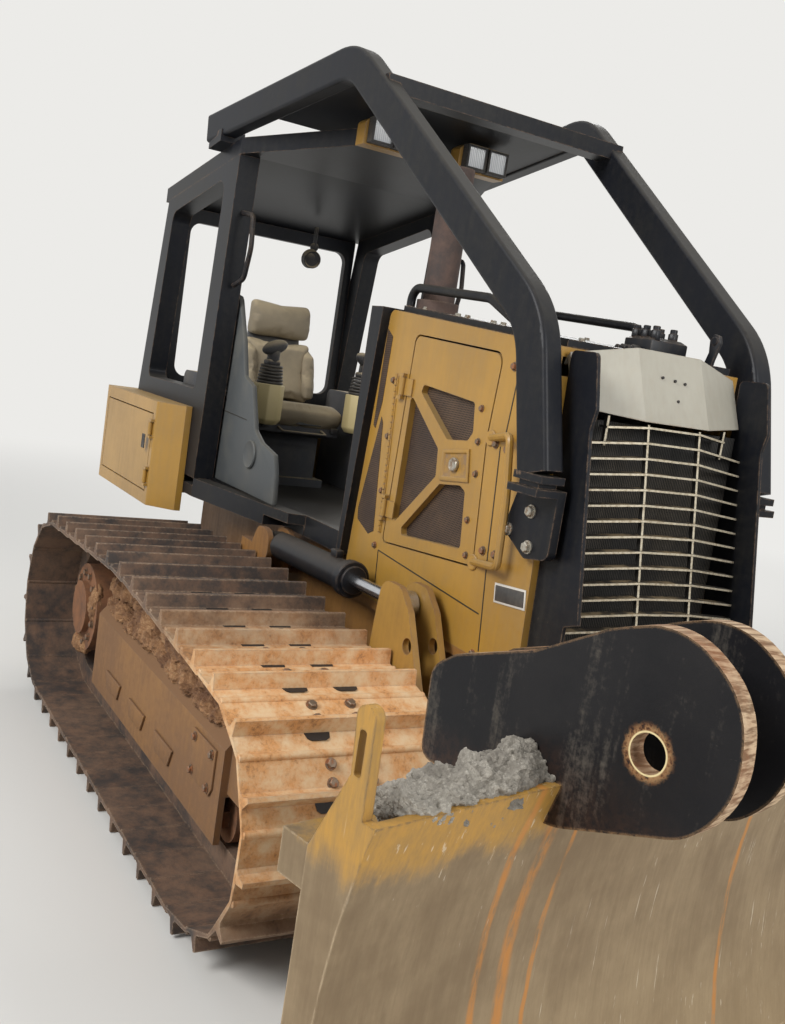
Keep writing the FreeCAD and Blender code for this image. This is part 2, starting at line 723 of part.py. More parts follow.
def hinge_knuckles(name, x, y, door_way, heights):
    """The door's own knuckles round those pins, each with a leaf on the door's face."""
    parts = []
    for number, z in enumerate(heights):
        tube = cylinder(f"{name}_tube_{number}", "Z", 10, (x, y), (z, z + 60))
        leaf = box(f"{name}_leaf_{number}", (x, x + 60 * door_way), (y + 4, y + 10), (z, z + 60))
        bore = cylinder(f"{name}_bore_{number}", "Z", 6 + s.pin_gap, (x, y), (z - 5, z + 65))
        parts.append(without(f"{name}_knuckle_{number}", joined(f"{name}_body_{number}", [tube, leaf]), [bore]))
    return parts


door_heights = (1200, 1640)
hinge_x = s.door_rear - 10
right_pins = hinge_pins("hood_hinge", hinge_x, -s.hood_half - 10, -1, door_heights)
pins = together("hood_pins", right_pins)
left_pins = mirrored("hood_pins_twin", pins)
node("hood_shell", joined("hood_shell", [shell_body, pins, left_pins]))

top_plate = plate("hood_top_plate", "XZ", [
    (s.hood_rear + 20, hood_line(s.hood_rear + 20)),
    (s.hood_front - 60, hood_line(s.hood_front - 60)),
    (s.hood_front - 60, hood_line(s.hood_front - 60) + 22),
    (s.hood_rear + 20, hood_line(s.hood_rear + 20) + 22),
], (-s.hood_half + 40, s.hood_half - 40))
node("hood_top", top_plate)

node("engine_block", box("engine_block", (s.hood_rear + 90, s.hood_front - 330), (-250, 250),
                         (s.hull_top, s.hood_top_front - 160)))

guard_sides = []
for side, hand in SIDES:
    guard_sides.append(plate(f"guard_side_{hand}", "XZ", [
        (s.hood_front + 26, s.guard_foot),
        (s.hood_front + 158, s.guard_foot),
        (s.hood_front + 158, s.guard_foot + 428),
        (s.hood_front + 214, s.guard_foot + 448),
        (s.hood_front + 121, s.bar_top + 18, 20),
        (s.hood_front + 134, s.bar_top + 77, 20),
        (s.hood_front + 98, s.hood_top_front - 5, 20),
        (s.hood_front - 14, s.hood_top_front - 5, 20),
    ], (side * s.guard_half, side * (s.guard_half - s.guard_plate))))
sill = box("guard_sill", (s.hull_front, s.hood_front + 158), (-s.guard_half, s.guard_half),
           (s.guard_foot, s.guard_foot + 60))
apron = box("guard_apron", (s.hood_front + 144, s.hood_front + 156), (-s.guard_half + 5, s.guard_half - 5),
            (s.guard_foot + 50, s.guard_foot + 335))
node("radiator_guard", joined("radiator_guard", guard_sides + [sill, apron]))

node("radiator_core", box("radiator_core", (s.hood_front - 54, s.hood_front + 14),
                          (-s.guard_half + s.guard_plate + 5, s.guard_half - s.guard_plate - 5),
                          (s.hull_top + s.seat_gap, s.hood_top_front - 190)))

lean = 0.176
bar_half = s.guard_half - s.guard_plate - s.seat_gap


def bar_line(z):
    """The front of the bars' middle at a height."""
    return s.hood_front + 101 + (s.bar_top - z) * lean


def bar_section(y, x, z):
    """A bar's cut at one place across, with its front edge at x."""
    return (y, [(x, z), (x, z + s.bar_thick), (x - s.bar_deep, z + s.bar_thick), (x - s.bar_deep, z)])


bars = []
for i in range(int(s.bar_count.number)):
    z = s.bar_top - s.bar_pitch * i
    front = bar_line(z)
    bars.append(ruled(f"grille_bar_{i}", "XZ", [
        bar_section(-bar_half, front - s.bar_fold, z - s.bar_droop),
        bar_section(-s.crease, front, z),
        bar_section(s.crease, front, z),
        bar_section(bar_half, front - s.bar_fold, z - s.bar_droop),
    ]))
short_half = 240
short_z = s.bar_top + s.bar_pitch
short_share = (short_half - s.crease) / (bar_half - s.crease)
short_front = bar_line(short_z) - s.bar_fold * short_share
short_low = short_z - s.bar_droop * short_share
bars.append(ruled("grille_bar_short", "XZ", [
    bar_section(-short_half, short_front, short_low),
    bar_section(-s.crease, bar_line(short_z), short_z),
    bar_section(s.crease, bar_line(short_z), short_z),
    bar_section(short_half, short_front, short_low),
]))
bars_low = s.bar_top - s.bar_pitch * (s.bar_count.number - 1)
for side, hand in SIDES:
    bars.append(plate(f"grille_upright_{hand}", "XZ", [
        (bar_line(bars_low) - 20, bars_low - 20),
        (bar_line(bars_low) - 5, bars_low - 20),
        (bar_line(s.bar_top + 56) - 5, s.bar_top + 56),
        (bar_line(s.bar_top + 56) - 20, s.bar_top + 56),
    ], (side * (s.crease - 4), side * (s.crease + 4))))
    bars.append(box(f"grille_post_{hand}", (short_front - 16, short_front - 4),
                    (side * (short_half - 8), side * short_half), (s.bar_top - 20, s.bar_top + 66)))
node("grille", joined("grille", bars))

nose_foot = s.bar_top + 64


def nose_section(y, fold, drop):
    """The nose cap's side view at one place across: a bent shell."""
    return (y, [
        (s.hood_front - 58, s.hood_top_front + 8 - drop),
        (s.hood_front - 40 + fold * 1.25, s.hood_top_front + 34 - drop),
        (s.hood_front + 22 + fold * 1.9, nose_foot + drop / 3),
        (s.hood_front + 10 + fold * 1.9, nose_foot + drop / 3),
        (s.hood_front - 50 + fold * 1.25, s.hood_top_front + 22 - drop),
        (s.hood_front - 58, s.hood_top_front - 4 - drop),
    ])


edge = s.guard_half - s.guard_plate - 4
nose = ruled("nose_cap", "XZ", [
    nose_section(-edge, 0, 44),
    nose_section(-s.crease - 24, 40, 0),
    nose_section(s.crease + 24, 40, 0),
    nose_section(edge, 0, 44),
])
node("nose_cap", nose)

# Engine doors, each hinged at its rear edge

windows = [
    [(467, 1689, 14), (793, 1661, 14), (810, 1565, 20), (785, 1536, 14), (665, 1524, 14), (458, 1661, 10)],
    [(394, 1648, 12), (619, 1487, 14), (631, 1394, 14), (412, 1195, 8), (394, 1205, 8)],
    [(662, 1373, 14), (783, 1389, 14), (817, 1375, 14), (841, 1191, 14), (470, 1157, 10), (462, 1183, 10)],
]
panel = plate("engine_door", "XZ", door_points, (-s.hood_half, -s.hood_half + 24), windows=windows)
knuckles = hinge_knuckles("door_hinge", hinge_x, -s.hood_half - 10, 1, door_heights)
both_sides("engine_door", joined("door_with_hinges", [panel] + knuckles))

mesh = plate("door_mesh", "XZ", [
    (380, 1150), (470, 1135), (860, 1172), (868, 1560), (850, 1700), (440, 1715), (380, 1660),
], (-s.hood_half + 24, -s.hood_half + 29))
both_sides("door_mesh", mesh)

# Exhaust and hand rails

stack = joined("exhaust", [
    cylinder("stack", "Z", 60, (230, -225), (s.hood_top_front, 2470)),
    cylinder("stack_foot", "Z", 78, (230, -225), (s.hood_top_front + 20, s.hood_top_rear + 50)),
])
above_hood = plate("under_stack", "XZ", [
    (0, 1700), (1150, 1700), (1150, hood_line(1150) + 22 + s.seat_gap), (0, hood_line(0) + 22 + s.seat_gap),
], (-400, 400))
node("exhaust_stack", without("exhaust_stack", stack, [above_hood]))

rail_points = [Vector(190, -315, 1900), Vector(190, -315, 2030), Vector(700, -315, 2000), Vector(1020, -315, 1860)]
rail = feature("rail", round_tube(rail_points, (50, 120), 16))
rail_pair = together("rail_pair", [rail, mirrored("rail_twin", rail)])
node("hand_rails", without("hand_rails", rail_pair, [above_hood]))

# Cab: floor, cowl, side frames, rear frame and roof

floor_front = s.hood_rear - 92
floor_sheet = plate("floor_sheet", "XY", [
    (-s.tank_rear + 480, -s.cab_half),
    (-s.post_front, -s.cab_half),
    (-260, -s.sill_bend),
    (-230, -s.sill_front),
    (floor_front, -s.sill_front),
    (floor_front, s.sill_front),
    (-230, s.sill_front),
    (-260, s.sill_bend),
    (-s.post_front, s.cab_half),
    (-s.tank_rear + 480, s.cab_half),
], (s.sill_low, s.sill_low + 50))
service_room = box("service_room", (-s.tank_rear + 90, s.service_front + 25),
                   (-s.tank_half - 60, -s.tank_half + 24), (s.tank_low + 60, s.tank_high - 60))
floor = without("floor", floor_sheet, [service_room])
sills = [floor]
for side, hand in SIDES:
    sills.append(plate(f"sill_{hand}", "XY", [
        (-s.post_front, side * s.cab_half),
        (-260, side * s.sill_bend),
        (-230, side * s.sill_front),
        (floor_front, side * s.sill_front),
        (floor_front, side * (s.sill_front - 60)),
        (-s.post_front, side * (s.cab_half - 70)),
    ], (s.sill_low, s.sill_high)))
notches = []
for side, hand in SIDES:
    notches.append(box(f"sill_notch_{hand}", (-440, -229), (side * 413, side * 640), (s.sill_low - 20, s.sill_low + 42)))
node("cab_floor", without("cab_floor", joined("floor_and_sills", sills), notches))

cowl = plate("cowl", "XZ", [
    (floor_front, s.sill_low),
    (hood_back(s.sill_low) - s.seat_gap, s.sill_low),
    (hood_back(s.hood_top_rear) - s.seat_gap, s.hood_top_rear + 5),
    (s.hood_rear - 90, s.hood_top_rear + 5),
], (-s.hood_half - 35, s.hood_half + 35))
node("cab_cowl", cowl)

post_lean = 75
roof_slope = (s.roof_mid - s.roof_rear) / (s.cab_rear - 110 - s.post_front + post_lean)


def roof_line(x):
    """Height of the roof's top at x, behind the middle posts."""
    return s.roof_rear + (x + s.cab_rear - 110) * roof_slope


side_frame = plate("side_frame", "XZ", [
    (-s.cab_rear, s.rail_low),
    (-s.post_front - 160, s.rail_low),
    (-s.post_front - 160, s.sill_high),
    (-s.post_front, s.sill_high),
    (-s.post_front + post_lean, s.roof_mid - s.roof_thick),
    (-s.cab_rear + 160, roof_line(-s.cab_rear + 160) - s.roof_thick),
], (-s.cab_half, -s.cab_half + s.cab_post), windows=[[
    (-s.cab_rear + 150, s.rail_high, 40),
    (-s.post_front - 135, s.rail_high, 40),
    (-s.post_front - 75, s.roof_mid - s.roof_thick - 90, 60),
    (-s.cab_rear + 260, s.roof_rear - s.roof_thick - 60, 60),
]])
node("cab_sides", together("cab_sides", [side_frame, mirrored("side_frame_twin", side_frame)]))

rear_frame = plate("rear_frame", "YZ", [
    (-s.cab_half + s.cab_post, s.rail_low),
    (s.cab_half - s.cab_post, s.rail_low),
    (s.cab_half - s.cab_post, s.roof_rear - s.roof_thick),
    (-s.cab_half + s.cab_post, s.roof_rear - s.roof_thick),
], (-s.cab_rear + 85, -s.cab_rear + 125), windows=[[
    (-s.cab_half + s.cab_post + 50, s.rail_high + 20, 60),
    (s.cab_half - s.cab_post - 50, s.rail_high + 20, 60),
    (s.cab_half - s.cab_post - 50, s.roof_rear - s.roof_thick - 70, 60),
    (-s.cab_half + s.cab_post + 50, s.roof_rear - s.roof_thick - 70, 60),
]])
node("cab_rear_frame", rear_frame)

roof_slab = plate("roof_slab", "XZ", [
    (-s.cab_rear + 110, s.roof_rear - s.roof_thick),
    (-s.post_front + post_lean, s.roof_mid - s.roof_thick),
    (-s.roof_front, s.roof_nose - s.roof_thick),
    (-s.roof_front, s.roof_nose),
    (-s.post_front + post_lean, s.roof_mid),
    (-s.cab_rear + 110, s.roof_rear),
], (-s.cab_half - 20, s.cab_half + 20))
roof_plan = plate("roof_plan", "XY", [
    (-s.cab_rear, -s.cab_half, 60),
    (-s.post_front + post_lean, -s.cab_half, 40),
    (-s.roof_front, -s.hood_half + 35),
    (-s.roof_front, s.hood_half - 35),
    (-s.post_front + post_lean, s.cab_half, 40),
    (-s.cab_rear, s.cab_half, 60),
], (2000, 3000))
node("canopy_roof", common("canopy_roof", roof_slab, roof_plan))

pods = []
for side, hand in SIDES:
    pods.append(plate(f"lamp_pod_{hand}", "YZ", [
        (side * 108, s.roof_nose - s.roof_thick),
        (side * 345, s.roof_nose - s.roof_thick),
        (side * 345, s.roof_nose + 22, 25),
        (side * 300, s.roof_nose + 48, 30),
        (side * 150, s.roof_nose + 48, 30),
        (side * 108, s.roof_nose + 22, 25),
    ], (-s.roof_front, -s.roof_front + 70)))
node("lamp_pods", together("lamp_pods", pods))

lamps = []
for side, hand in SIDES:
    for number, y in enumerate((174, 281)):
        lamps.append(box(f"lamp_{hand}_{number}", (-s.roof_front + 70, -s.roof_front + 105),
                         (side * (y - 48), side * (y + 48)), (s.roof_nose - 62, s.roof_nose + 34)))
node("work_lamps", together("work_lamps", lamps))

# Operator's place

node("seat_base", joined("seat_base", [
    box("seat_foot", (-1700, -1330), (-190, 190), (s.sill_low + 50, s.sill_low + 90)),
    box("seat_bellows", (-1640, -1390), (-160, 160), (s.sill_low + 85, 1330)),
    box("seat_pan", (-1740, -1290), (-220, 220), (1325, 1365)),
]))
cushion = plate("cushion", "XZ", [
    (-1690, 1365 + s.seat_gap), (-1250, 1365 + s.seat_gap, 30), (-1215, 1480, 40), (-1690, 1455),
], (-235, 235))
node("seat_cushion", cushion)
back = plate("seat_back_block", "XZ", [
    (-1700, 1454.8), (-1600, 1460), (-1690, 1860, 20), (-1700, 2070, 30), (-1780, 2070, 30), (-1800, 1860, 20),
], (-205, 205))
node("seat_back", back)
console_inner = s.cab_half - s.cab_post - 190
lever_y = console_inner - 35
consoles = []
for side, hand in SIDES:
    consoles.append(plate(f"console_{hand}", "XZ", [
        (-1690, s.sill_low + 50), (-1110, s.sill_low + 50), (-1130, 1420, 40), (-1260, 1560, 40), (-1690, 1560, 40),
    ], (side * (s.cab_half - s.cab_post - 12), side * console_inner)))
node("side_consoles", together("side_consoles", consoles))
levers = []
for side, hand in SIDES:
    stalk = cylinder(f"lever_{hand}", "Z", 34, (-1260, side * lever_y), (1440, 1620))
    foot = box(f"lever_pod_{hand}", (-1330, -1190), (side * (lever_y - 40), side * console_inner), (1300, 1440))
    grip = cylinder(f"grip_{hand}", "Z", 24, (-1260, side * lever_y), (1620, 1740))
    levers.append(joined(f"lever_set_{hand}", [stalk, foot, grip]))
node("control_levers", together("control_levers", levers))

# Rear tank with the service box's door on its right side

tank = plate("tank", "XY", [
    (-s.tank_rear, -s.tank_half, 60),
    (-1290, -s.tank_half, 20),
    (-1185, -s.cab_half - 32),
    (-1185, -s.cab_half - 2),
    (-s.tank_rear + 478, -s.cab_half - 2),
    (-s.tank_rear + 478, s.cab_half + 2),
    (-1185, s.cab_half + 2),
    (-1185, s.cab_half + 32),
    (-1290, s.tank_half, 20),
    (-s.tank_rear, s.tank_half, 60),
], (s.tank_low, s.tank_high))
pocket = box("service_pocket", (-2150, -1330), (-s.tank_half - 10, -s.tank_half + 90), (s.tank_low + 60, s.tank_high - 60))
bracket = box("tank_foot", (-s.tank_rear + 478, -s.hull_rear - 0), (-300, 300), (s.tank_low, s.deck_top))
service_pins = hinge_pins("tank_hinge", s.service_front + 10, -s.tank_half - 10, 1, (1010, 1240))
tank_side = plate("tank_side", "XZ", [
    (-s.tank_rear, s.tank_low, 70), (-1100, s.tank_low), (-1100, s.tank_high), (-s.tank_rear, s.tank_high, 45),
], (-s.tank_half - 1, s.tank_half + 1))
tank_shape = common("tank_shape", tank, tank_side)
node("rear_tank", joined("rear_tank", [without("tank_body", tank_shape, [pocket]), bracket] + service_pins))
service_panel = box("service_panel", (-2144, s.service_front), (-s.tank_half, -s.tank_half + 22),
                    (s.tank_low + 66, s.tank_high - 66))
service_knuckles = hinge_knuckles("service_hinge", s.service_front + 10, -s.tank_half - 10, -1, (1010, 1240))
node("service_door", joined("service_door", [service_panel] + service_knuckles))

# Forestry sweeps over the canopy, their crossbar, roof plate and brackets


def rounded_section(centre, wide, deep, radius, across, along):
    """A rounded rectangle about a point: deep lies along one vector and wide along another."""
    corners = []
    for a, b in ((1, 1), (-1, 1), (-1, -1), (1, -1)):
        corners.append(centre + across * (a * wide / 2) + along * (b * deep / 2))
    edges = []
    for i in range(4):
        here, after, before = corners[i], corners[(i + 1) % 4], corners[i - 1]
        to_after = (after - here).normalize()
        to_before = (before - here).normalize()
        start = here + to_before * radius
        end = here + to_after * radius
        middle = here + (to_after + to_before) * radius * (1 - math.sqrt(0.5))
        edges.append(Part.Arc(start, middle, end).toShape())
        edges.append(Part.LineSegment(end, after - to_after * radius).toShape())
    return Part.Wire(edges)


def sweep_tube():
    """One sweep in its own upright plane, along X, before it is splayed."""
    points = [Vector(0, 0, 0), Vector(-115, 0, 430), Vector(-1300, 0, 1307), Vector(-2520, 0, 1175)]
    path = bent_path(points, (300, 240))
    way = (points[1] - points[0]).normalize()
    section = rounded_section(points[0], s.sweep_wide.number, s.sweep_deep.number, 14,
                              Vector(0, 1, 0), way.cross(Vector(0, 1, 0)))
    return swept(path, section)


tubes = []
for side, hand in SIDES:
    tube = feature(f"sweep_tube_{hand}", sweep_tube())
    tubes.append(tube)
    tube.Placement = FreeCAD.Placement(Vector(), FreeCAD.Rotation(Vector(0, 0, 1), -side * s.sweep_splay.number))
    bind(tube, "Placement.Base.x", s.sweep_foot_x)
    bind(tube, "Placement.Base.y", side * s.sweep_foot_y)
    bind(tube, "Placement.Base.z", s.sweep_foot_z)
node("sweeps", together("sweeps", tubes))

feet = []
for side, hand in SIDES:
    foot_y = side * s.sweep_foot_y
    feet.append(joined(f"sweep_foot_{hand}", [
        box(f"collar_{hand}", (s.sweep_foot_x - 66, s.sweep_foot_x + 66), (foot_y - 41, foot_y + 41),
            (s.sweep_foot_z - 22, s.sweep_foot_z)),
        box(f"neck_{hand}", (s.sweep_foot_x - 45, s.sweep_foot_x + 45), (foot_y - 32, foot_y + 32),
            (s.sweep_foot_z - 42, s.sweep_foot_z - 18)),
        box(f"flange_{hand}", (s.sweep_foot_x - 72, s.sweep_foot_x + 66),
            (side * (s.hood_half + 0.3), side * (s.sweep_foot_y + 52)), (s.sweep_foot_z - 60, s.sweep_foot_z - 38)),
        plate(f"cheek_{hand}", "XZ", [
            (s.sweep_foot_x - 116, s.sweep_foot_z - 58),
            (s.sweep_foot_x - 160, s.sweep_foot_z - 188, 15),
            (s.sweep_foot_x - 42, s.sweep_foot_z - 254, 30),
            (s.sweep_foot_x + 66, s.sweep_foot_z - 238, 30),
            (s.sweep_foot_x + 66, s.sweep_foot_z - 58),
        ], (side * (s.hood_half + 0.3), side * (s.hood_half + 30))),
    ]))
node("sweep_feet", without("sweep_feet", together("foot_pair", feet), tubes))

crossbar = box("crossbar", (105, 195), (-540, 540), (2670, 2730))
node("sweep_crossbar", without("sweep_crossbar", crossbar, tubes))
roof_plate = plate("roof_plate", "XZ", [
    (-40, 2752), (-40, 2764), (-720, 2691), (-720, 2679),
], (-600, 600))
between_sweeps = plate("between_sweeps", "XY", [
    (-20, -538), (-20, 538), (-740, 600), (-740, -600),
], (2600, 2800))
node("sweep_roof_plate", without("sweep_roof_plate", common("roof_plate_cut", roof_plate, between_sweeps), tubes))
brackets = []
for side, hand in SIDES:
    brackets.append(box(f"bracket_{hand}", (-1240, -1090), (side * 560, side * 672), (2540, 2700)))
bracket_tools = tubes + [roof_slab]
bracket_set = without("bracket_set", together("bracket_blocks", brackets), bracket_tools)
above_roof = plate("above_roof", "XZ", [
    (-1300, roof_line(-1300)), (-1000, roof_line(-1000)), (-1000, 2665), (-1300, 2640),
], (-700, 700))
node("sweep_brackets", common("sweep_brackets", bracket_set, above_roof))

# Push frame with its uprights, and the fork that carries the blade's swing block

arms = []
arm_low = s.pivot_height - s.arm_high / 2
arm_top = s.pivot_height + s.arm_high / 2
for side, hand in SIDES:
    arms.append(plate(f"arm_{hand}", "XZ", [
        (-s.pivot_back - 90, arm_low, 80),
        (600, arm_low - 40),
        (1520, arm_low - 70),
        (1520, arm_top - 40),
        (600, arm_top),
        (-s.pivot_back - 90, arm_top, 80),
    ], (side * s.arm_inner, side * s.arm_outer), holes=[(-s.pivot_back, s.pivot_height, 45 + s.running_gap * 0.2)]))
    for number, (low, high) in enumerate(((s.arm_inner, s.arm_inner + 22), (s.arm_outer - 22, s.arm_outer))):
        arms.append(plate(f"upright_{hand}_{number}", "XZ", [
            (620, arm_top - 5),
            (1070, arm_top - 15),
            (1040, arm_top + 90),
            (s.eye_x + 130, s.eye_z + 10, 40),
            (s.eye_x + 60, s.eye_z + 75, 50),
            (s.eye_x - 60, s.eye_z + 75, 55),
            (s.eye_x - 75, s.eye_z - 60, 30),
        ], (side * low, side * high), holes=[(s.eye_x + 150, s.eye_z - 95, 26)]))
cross = box("push_cross", (1500, 1596), (-s.arm_outer, s.arm_outer), (s.pivot_height - 150, s.pivot_height + 60))
fork = []
for name, low, high in (("low", 300, 335), ("high", 505, 540)):
    fork.append(plate(f"fork_{name}", "XY", [
        (1590, -150), (s.swing_x, -74), (s.swing_x + 74, -74, 73), (s.swing_x + 74, 74, 73),
        (s.swing_x, 74), (1590, 150),
    ], (low, high), holes=[(s.swing_x, 0, 42 + s.running_gap * 0.2)]))
fork.append(box("fork_web", (1560, 1596), (-150, 150), (300, 540)))
for side, hand in SIDES:
    arms.append(box(f"angle_post_{hand}", (s.angle_eye_x - 34, s.angle_eye_x + 40),
                    (side * (s.angle_eye_y - 38), side * s.arm_outer), (arm_top - 60, s.angle_z - 32)))
    arms.append(cylinder(f"angle_pin_{hand}", "Z", 20, (s.angle_eye_x, side * s.angle_eye_y),
                         (arm_top - 60, s.angle_z + 44)))
node("push_frame", joined("push_frame", arms + [cross] + fork))

# Swing frame: turns in the fork, takes the angle cylinders' rods and carries the blade's tilting pin

core = plate("swing_core", "XY", [
    (s.swing_x - 46, -46, 45), (s.swing_x + 20, -46), (s.swing_x + 90, -150), (s.swing_x + 180, -150),
    (s.swing_x + 180, 150), (s.swing_x + 90, 150), (s.swing_x + 20, 46), (s.swing_x - 46, 46, 45),
], (345, 495))
swing_pin = cylinder("swing_pin", "Z", 42, (s.swing_x, 0), (290, 550))
tower = plate("swing_tower", "YZ", [
    (-150, 350), (150, 350), (210, s.angle_z - 60), (230, s.angle_z + 60), (60, s.tilt_eye_z - 60),
    (-s.tilt_eye_y + 60, s.tilt_eye_z + 60, 40), (-s.tilt_eye_y - 50, s.tilt_eye_z + 60, 40),
    (-s.tilt_eye_y - 50, s.tilt_eye_z - 60, 40), (-230, s.angle_z + 60), (-210, s.angle_z - 60),
], (s.tower_x, s.tower_x + 30))
swing_parts = [core, swing_pin, tower]
for side, hand in SIDES:
    swing_parts.append(plate(f"angle_shelf_{hand}", "XY", [
        (s.tower_x, side * 150), (s.swing_x + 180, side * 150),
        (s.swing_x + s.angle_reach + 50, side * (s.angle_arm + 48), 30),
        (s.swing_x + s.angle_reach - 50, side * (s.angle_arm + 48), 30),
    ], (s.angle_z - 60, s.angle_z - 32)))
swing_parts.append(cylinder("tilt_pivot", "X", 20, (-s.tilt_eye_y, s.tilt_eye_z),
                            (s.tower_x + 20, s.tilt_eye_x + 34)))
swing_parts.append(cylinder("tilt_pin", "X", 70, (0, s.ball_z), (s.swing_x + 170, s.swing_x + 270)))
node("swing_frame", joined("swing_frame", swing_parts), turned=True)

# Blade: moldboard, cutting edge, back ribs and the two pairs of ears


def blade_arc(shift):
    """The moldboard's face as an arc in the XZ plane, moved back by shift."""
    foot = Vector(s.blade_front.number - 20 - shift, 0, s.blade_foot.number + 190)
    top = Vector(s.blade_front.number - shift, 0, s.blade_top.number)
    middle = Vector(s.blade_front.number - s.blade_hollow.number - shift, 0,
                    (s.blade_top.number + s.blade_foot.number) / 2 + 40)
    return foot, middle, top


def moldboard():
    foot, middle, top = blade_arc(0)
    foot_b, middle_b, top_b = blade_arc(s.blade_plate.number)
    edges = [
        Part.Arc(foot, middle, top).toShape(),
        Part.LineSegment(top, top_b).toShape(),
        Part.Arc(top_b, middle_b, foot_b).toShape(),
        Part.LineSegment(foot_b, foot).toShape(),
    ]
    face = Part.Face(Part.Wire(edges))
    solid = face.extrude(Vector(0, s.blade_width.number, 0))
    solid.translate(Vector(0, -s.blade_width.number / 2, 0))
    return solid


board = feature("moldboard", moldboard())
half_blade = s.blade_width / 2
low_beam = plate("back_low", "XZ", [
    (s.swing_x + 262, s.blade_foot + 190), (s.blade_front, s.blade_foot + 190), (s.blade_front, 420),
    (s.swing_x + 262, 420),
], (-half_blade + 20, half_blade - 20))
back_parts = [low_beam]
for name, low, high, rear in (("right", -half_blade + 20, -480, 150), ("middle", -480, 480, 262),
                              ("left", 480, half_blade - 20, 150)):
    back_parts.append(plate(f"back_top_{name}", "XZ", [
        (s.swing_x + rear, 885), (s.blade_front, 885), (s.blade_front, 965), (s.swing_x + rear, 965),
    ], (low, high)))
outer_rib = half_blade - 130
for number, y in enumerate((-outer_rib, -1150, -800, -480, 480, 800, 1150, outer_rib)):
    back_parts.append(plate(f"back_rib_{number}", "XZ", [
        (s.swing_x + 262, 410), (s.blade_front, 410), (s.blade_front, 890), (s.swing_x + 240, 890),
    ], (y - 12, y + 12)))
back_parts.append(box("tilt_bracket", (s.tilt_eye_x + 40, s.blade_front - 60), (s.tilt_eye_y - 60, s.tilt_eye_y + 50),
                      (s.tilt_eye_z - 70, s.tilt_eye_z + 70)))
back_parts.append(cylinder("tilt_boss", "X", 130, (0, s.ball_z), (s.swing_x + 186, s.blade_front - 60)))
bore = cylinder("tilt_bore", "X", 70 + s.running_gap * 0.2, (0, s.ball_z), (s.swing_x + 180, s.swing_x + 271))
for side, hand in SIDES:
    back_parts.append(plate(f"end_plate_{hand}", "XZ", [
        (s.swing_x + 262, s.blade_foot + 190), (s.blade_front, s.blade_foot + 190), (s.blade_front, s.blade_top),
        (s.blade_front - 30, s.blade_top), (s.blade_front - 34, s.blade_top + 172, 20),
        (s.blade_front - 78, s.blade_top + 172, 20), (s.blade_front - 70, s.blade_top + 60),
        (s.swing_x + 240, s.blade_top - 90), (s.swing_x + 240, 600),
    ], (side * half_blade, side * (half_blade - 20)), windows=[[
        (s.blade_front - 64, s.blade_top + 60, 6), (s.blade_front - 48, s.blade_top + 60, 6),
        (s.blade_front - 48, s.blade_top + 134, 6), (s.blade_front - 64, s.blade_top + 134, 6),
    ]]))


def front_space():
    """All that lies ahead of the moldboard's face."""
    foot, middle, top = blade_arc(1)
    far = s.blade_front.number + 500
    edges = [
        Part.Arc(foot, middle, top).toShape(),
        Part.LineSegment(top, Vector(far, 0, top.z)).toShape(),
        Part.LineSegment(Vector(far, 0, top.z), Vector(far, 0, foot.z)).toShape(),
        Part.LineSegment(Vector(far, 0, foot.z), foot).toShape(),
    ]
    solid = Part.Face(Part.Wire(edges)).extrude(Vector(0, s.blade_width.number + 100, 0))
    solid.translate(Vector(0, -s.blade_width.number / 2 - 50, 0))
    return solid


ahead = feature("front_space", front_space())
backing = without("blade_backing", joined("blade_back", back_parts), [ahead])
blade_solid = without("blade_solid", joined("blade_body", [board, backing]), [bore])
node("blade", blade_solid, turned=True)

edge_plate = plate("cutting_edge", "XZ", [
    (s.blade_front - 20, s.blade_foot + 190),
    (s.blade_front - 42, s.blade_foot + 190),
    (s.blade_front - 6, s.blade_foot),
    (s.blade_front + 26, s.blade_foot),
], (-half_blade, half_blade))
node("cutting_edge", edge_plate, turned=True)

ears = []
for side, hand in SIDES:
    for number in (0, 1):
        outer = s.ear_outer - (s.ear_plate + s.ear_gap) * number
        ears.append(plate(f"ear_{hand}_{number}", "XZ", [
            (s.swing_x + 40, 985, 30), (s.swing_x + 33, 1170, 50), (s.swing_x + 90, 1210),
            (s.swing_x + 277, 1276), (s.swing_x + 430, 1362, 200), (s.swing_x + 560, 1408, 145),
            (s.swing_x + 690, 1320, 145), (s.swing_x + 706, 1150, 170), (s.swing_x + 625, 1072, 105),
            (s.swing_x + 380, 985, 150),
        ], (side * outer, side * (outer - s.ear_plate)), holes=[(s.swing_x + 539, 1183, s.ear_hole)]))
ear_set = together("ear_set", ears)
node("blade_ears", without("blade_ears", ear_set, [blade_solid]), turned=True)

# Cylinders: each a bored barrel and a rod


def place_cylinder(name, start, end, bore, radius, barrel_length, rod_start, across, pin):
    """Both halves of a cylinder as nodes. across is the pins' direction."""
    way = (end - start).normalize()
    tube = Part.makeCylinder(radius, barrel_length - pin - 46, start + way * (pin + 46), way)
    tube = tube.cut(Part.makeCylinder(bore, barrel_length, start + way * (pin + 70), way))
    tail = Part.makeCylinder(pin + 20, 60, start - across * 30, across)
    neck = Part.makeCylinder(pin + 4, pin + 50, start, way)
    barrel = tube.fuse(tail).fuse(neck).cut(Part.makeCylinder(pin + 0.06, 80, start - across * 40, across))
    reach = (end - start).Length - rod_start - 20
    rod = Part.makeCylinder(bore - 0.06, reach, start + way * rod_start, way)
    head = Part.makeCylinder(pin + 20, 60, end - across * 30, across)
    rod = rod.fuse(head).cut(Part.makeCylinder(pin + 0.06, 80, end - across * 40, across))
    node(name + "_barrel", feature(name + "_barrel", barrel))
    node(name + "_rod", feature(name + "_rod", rod))


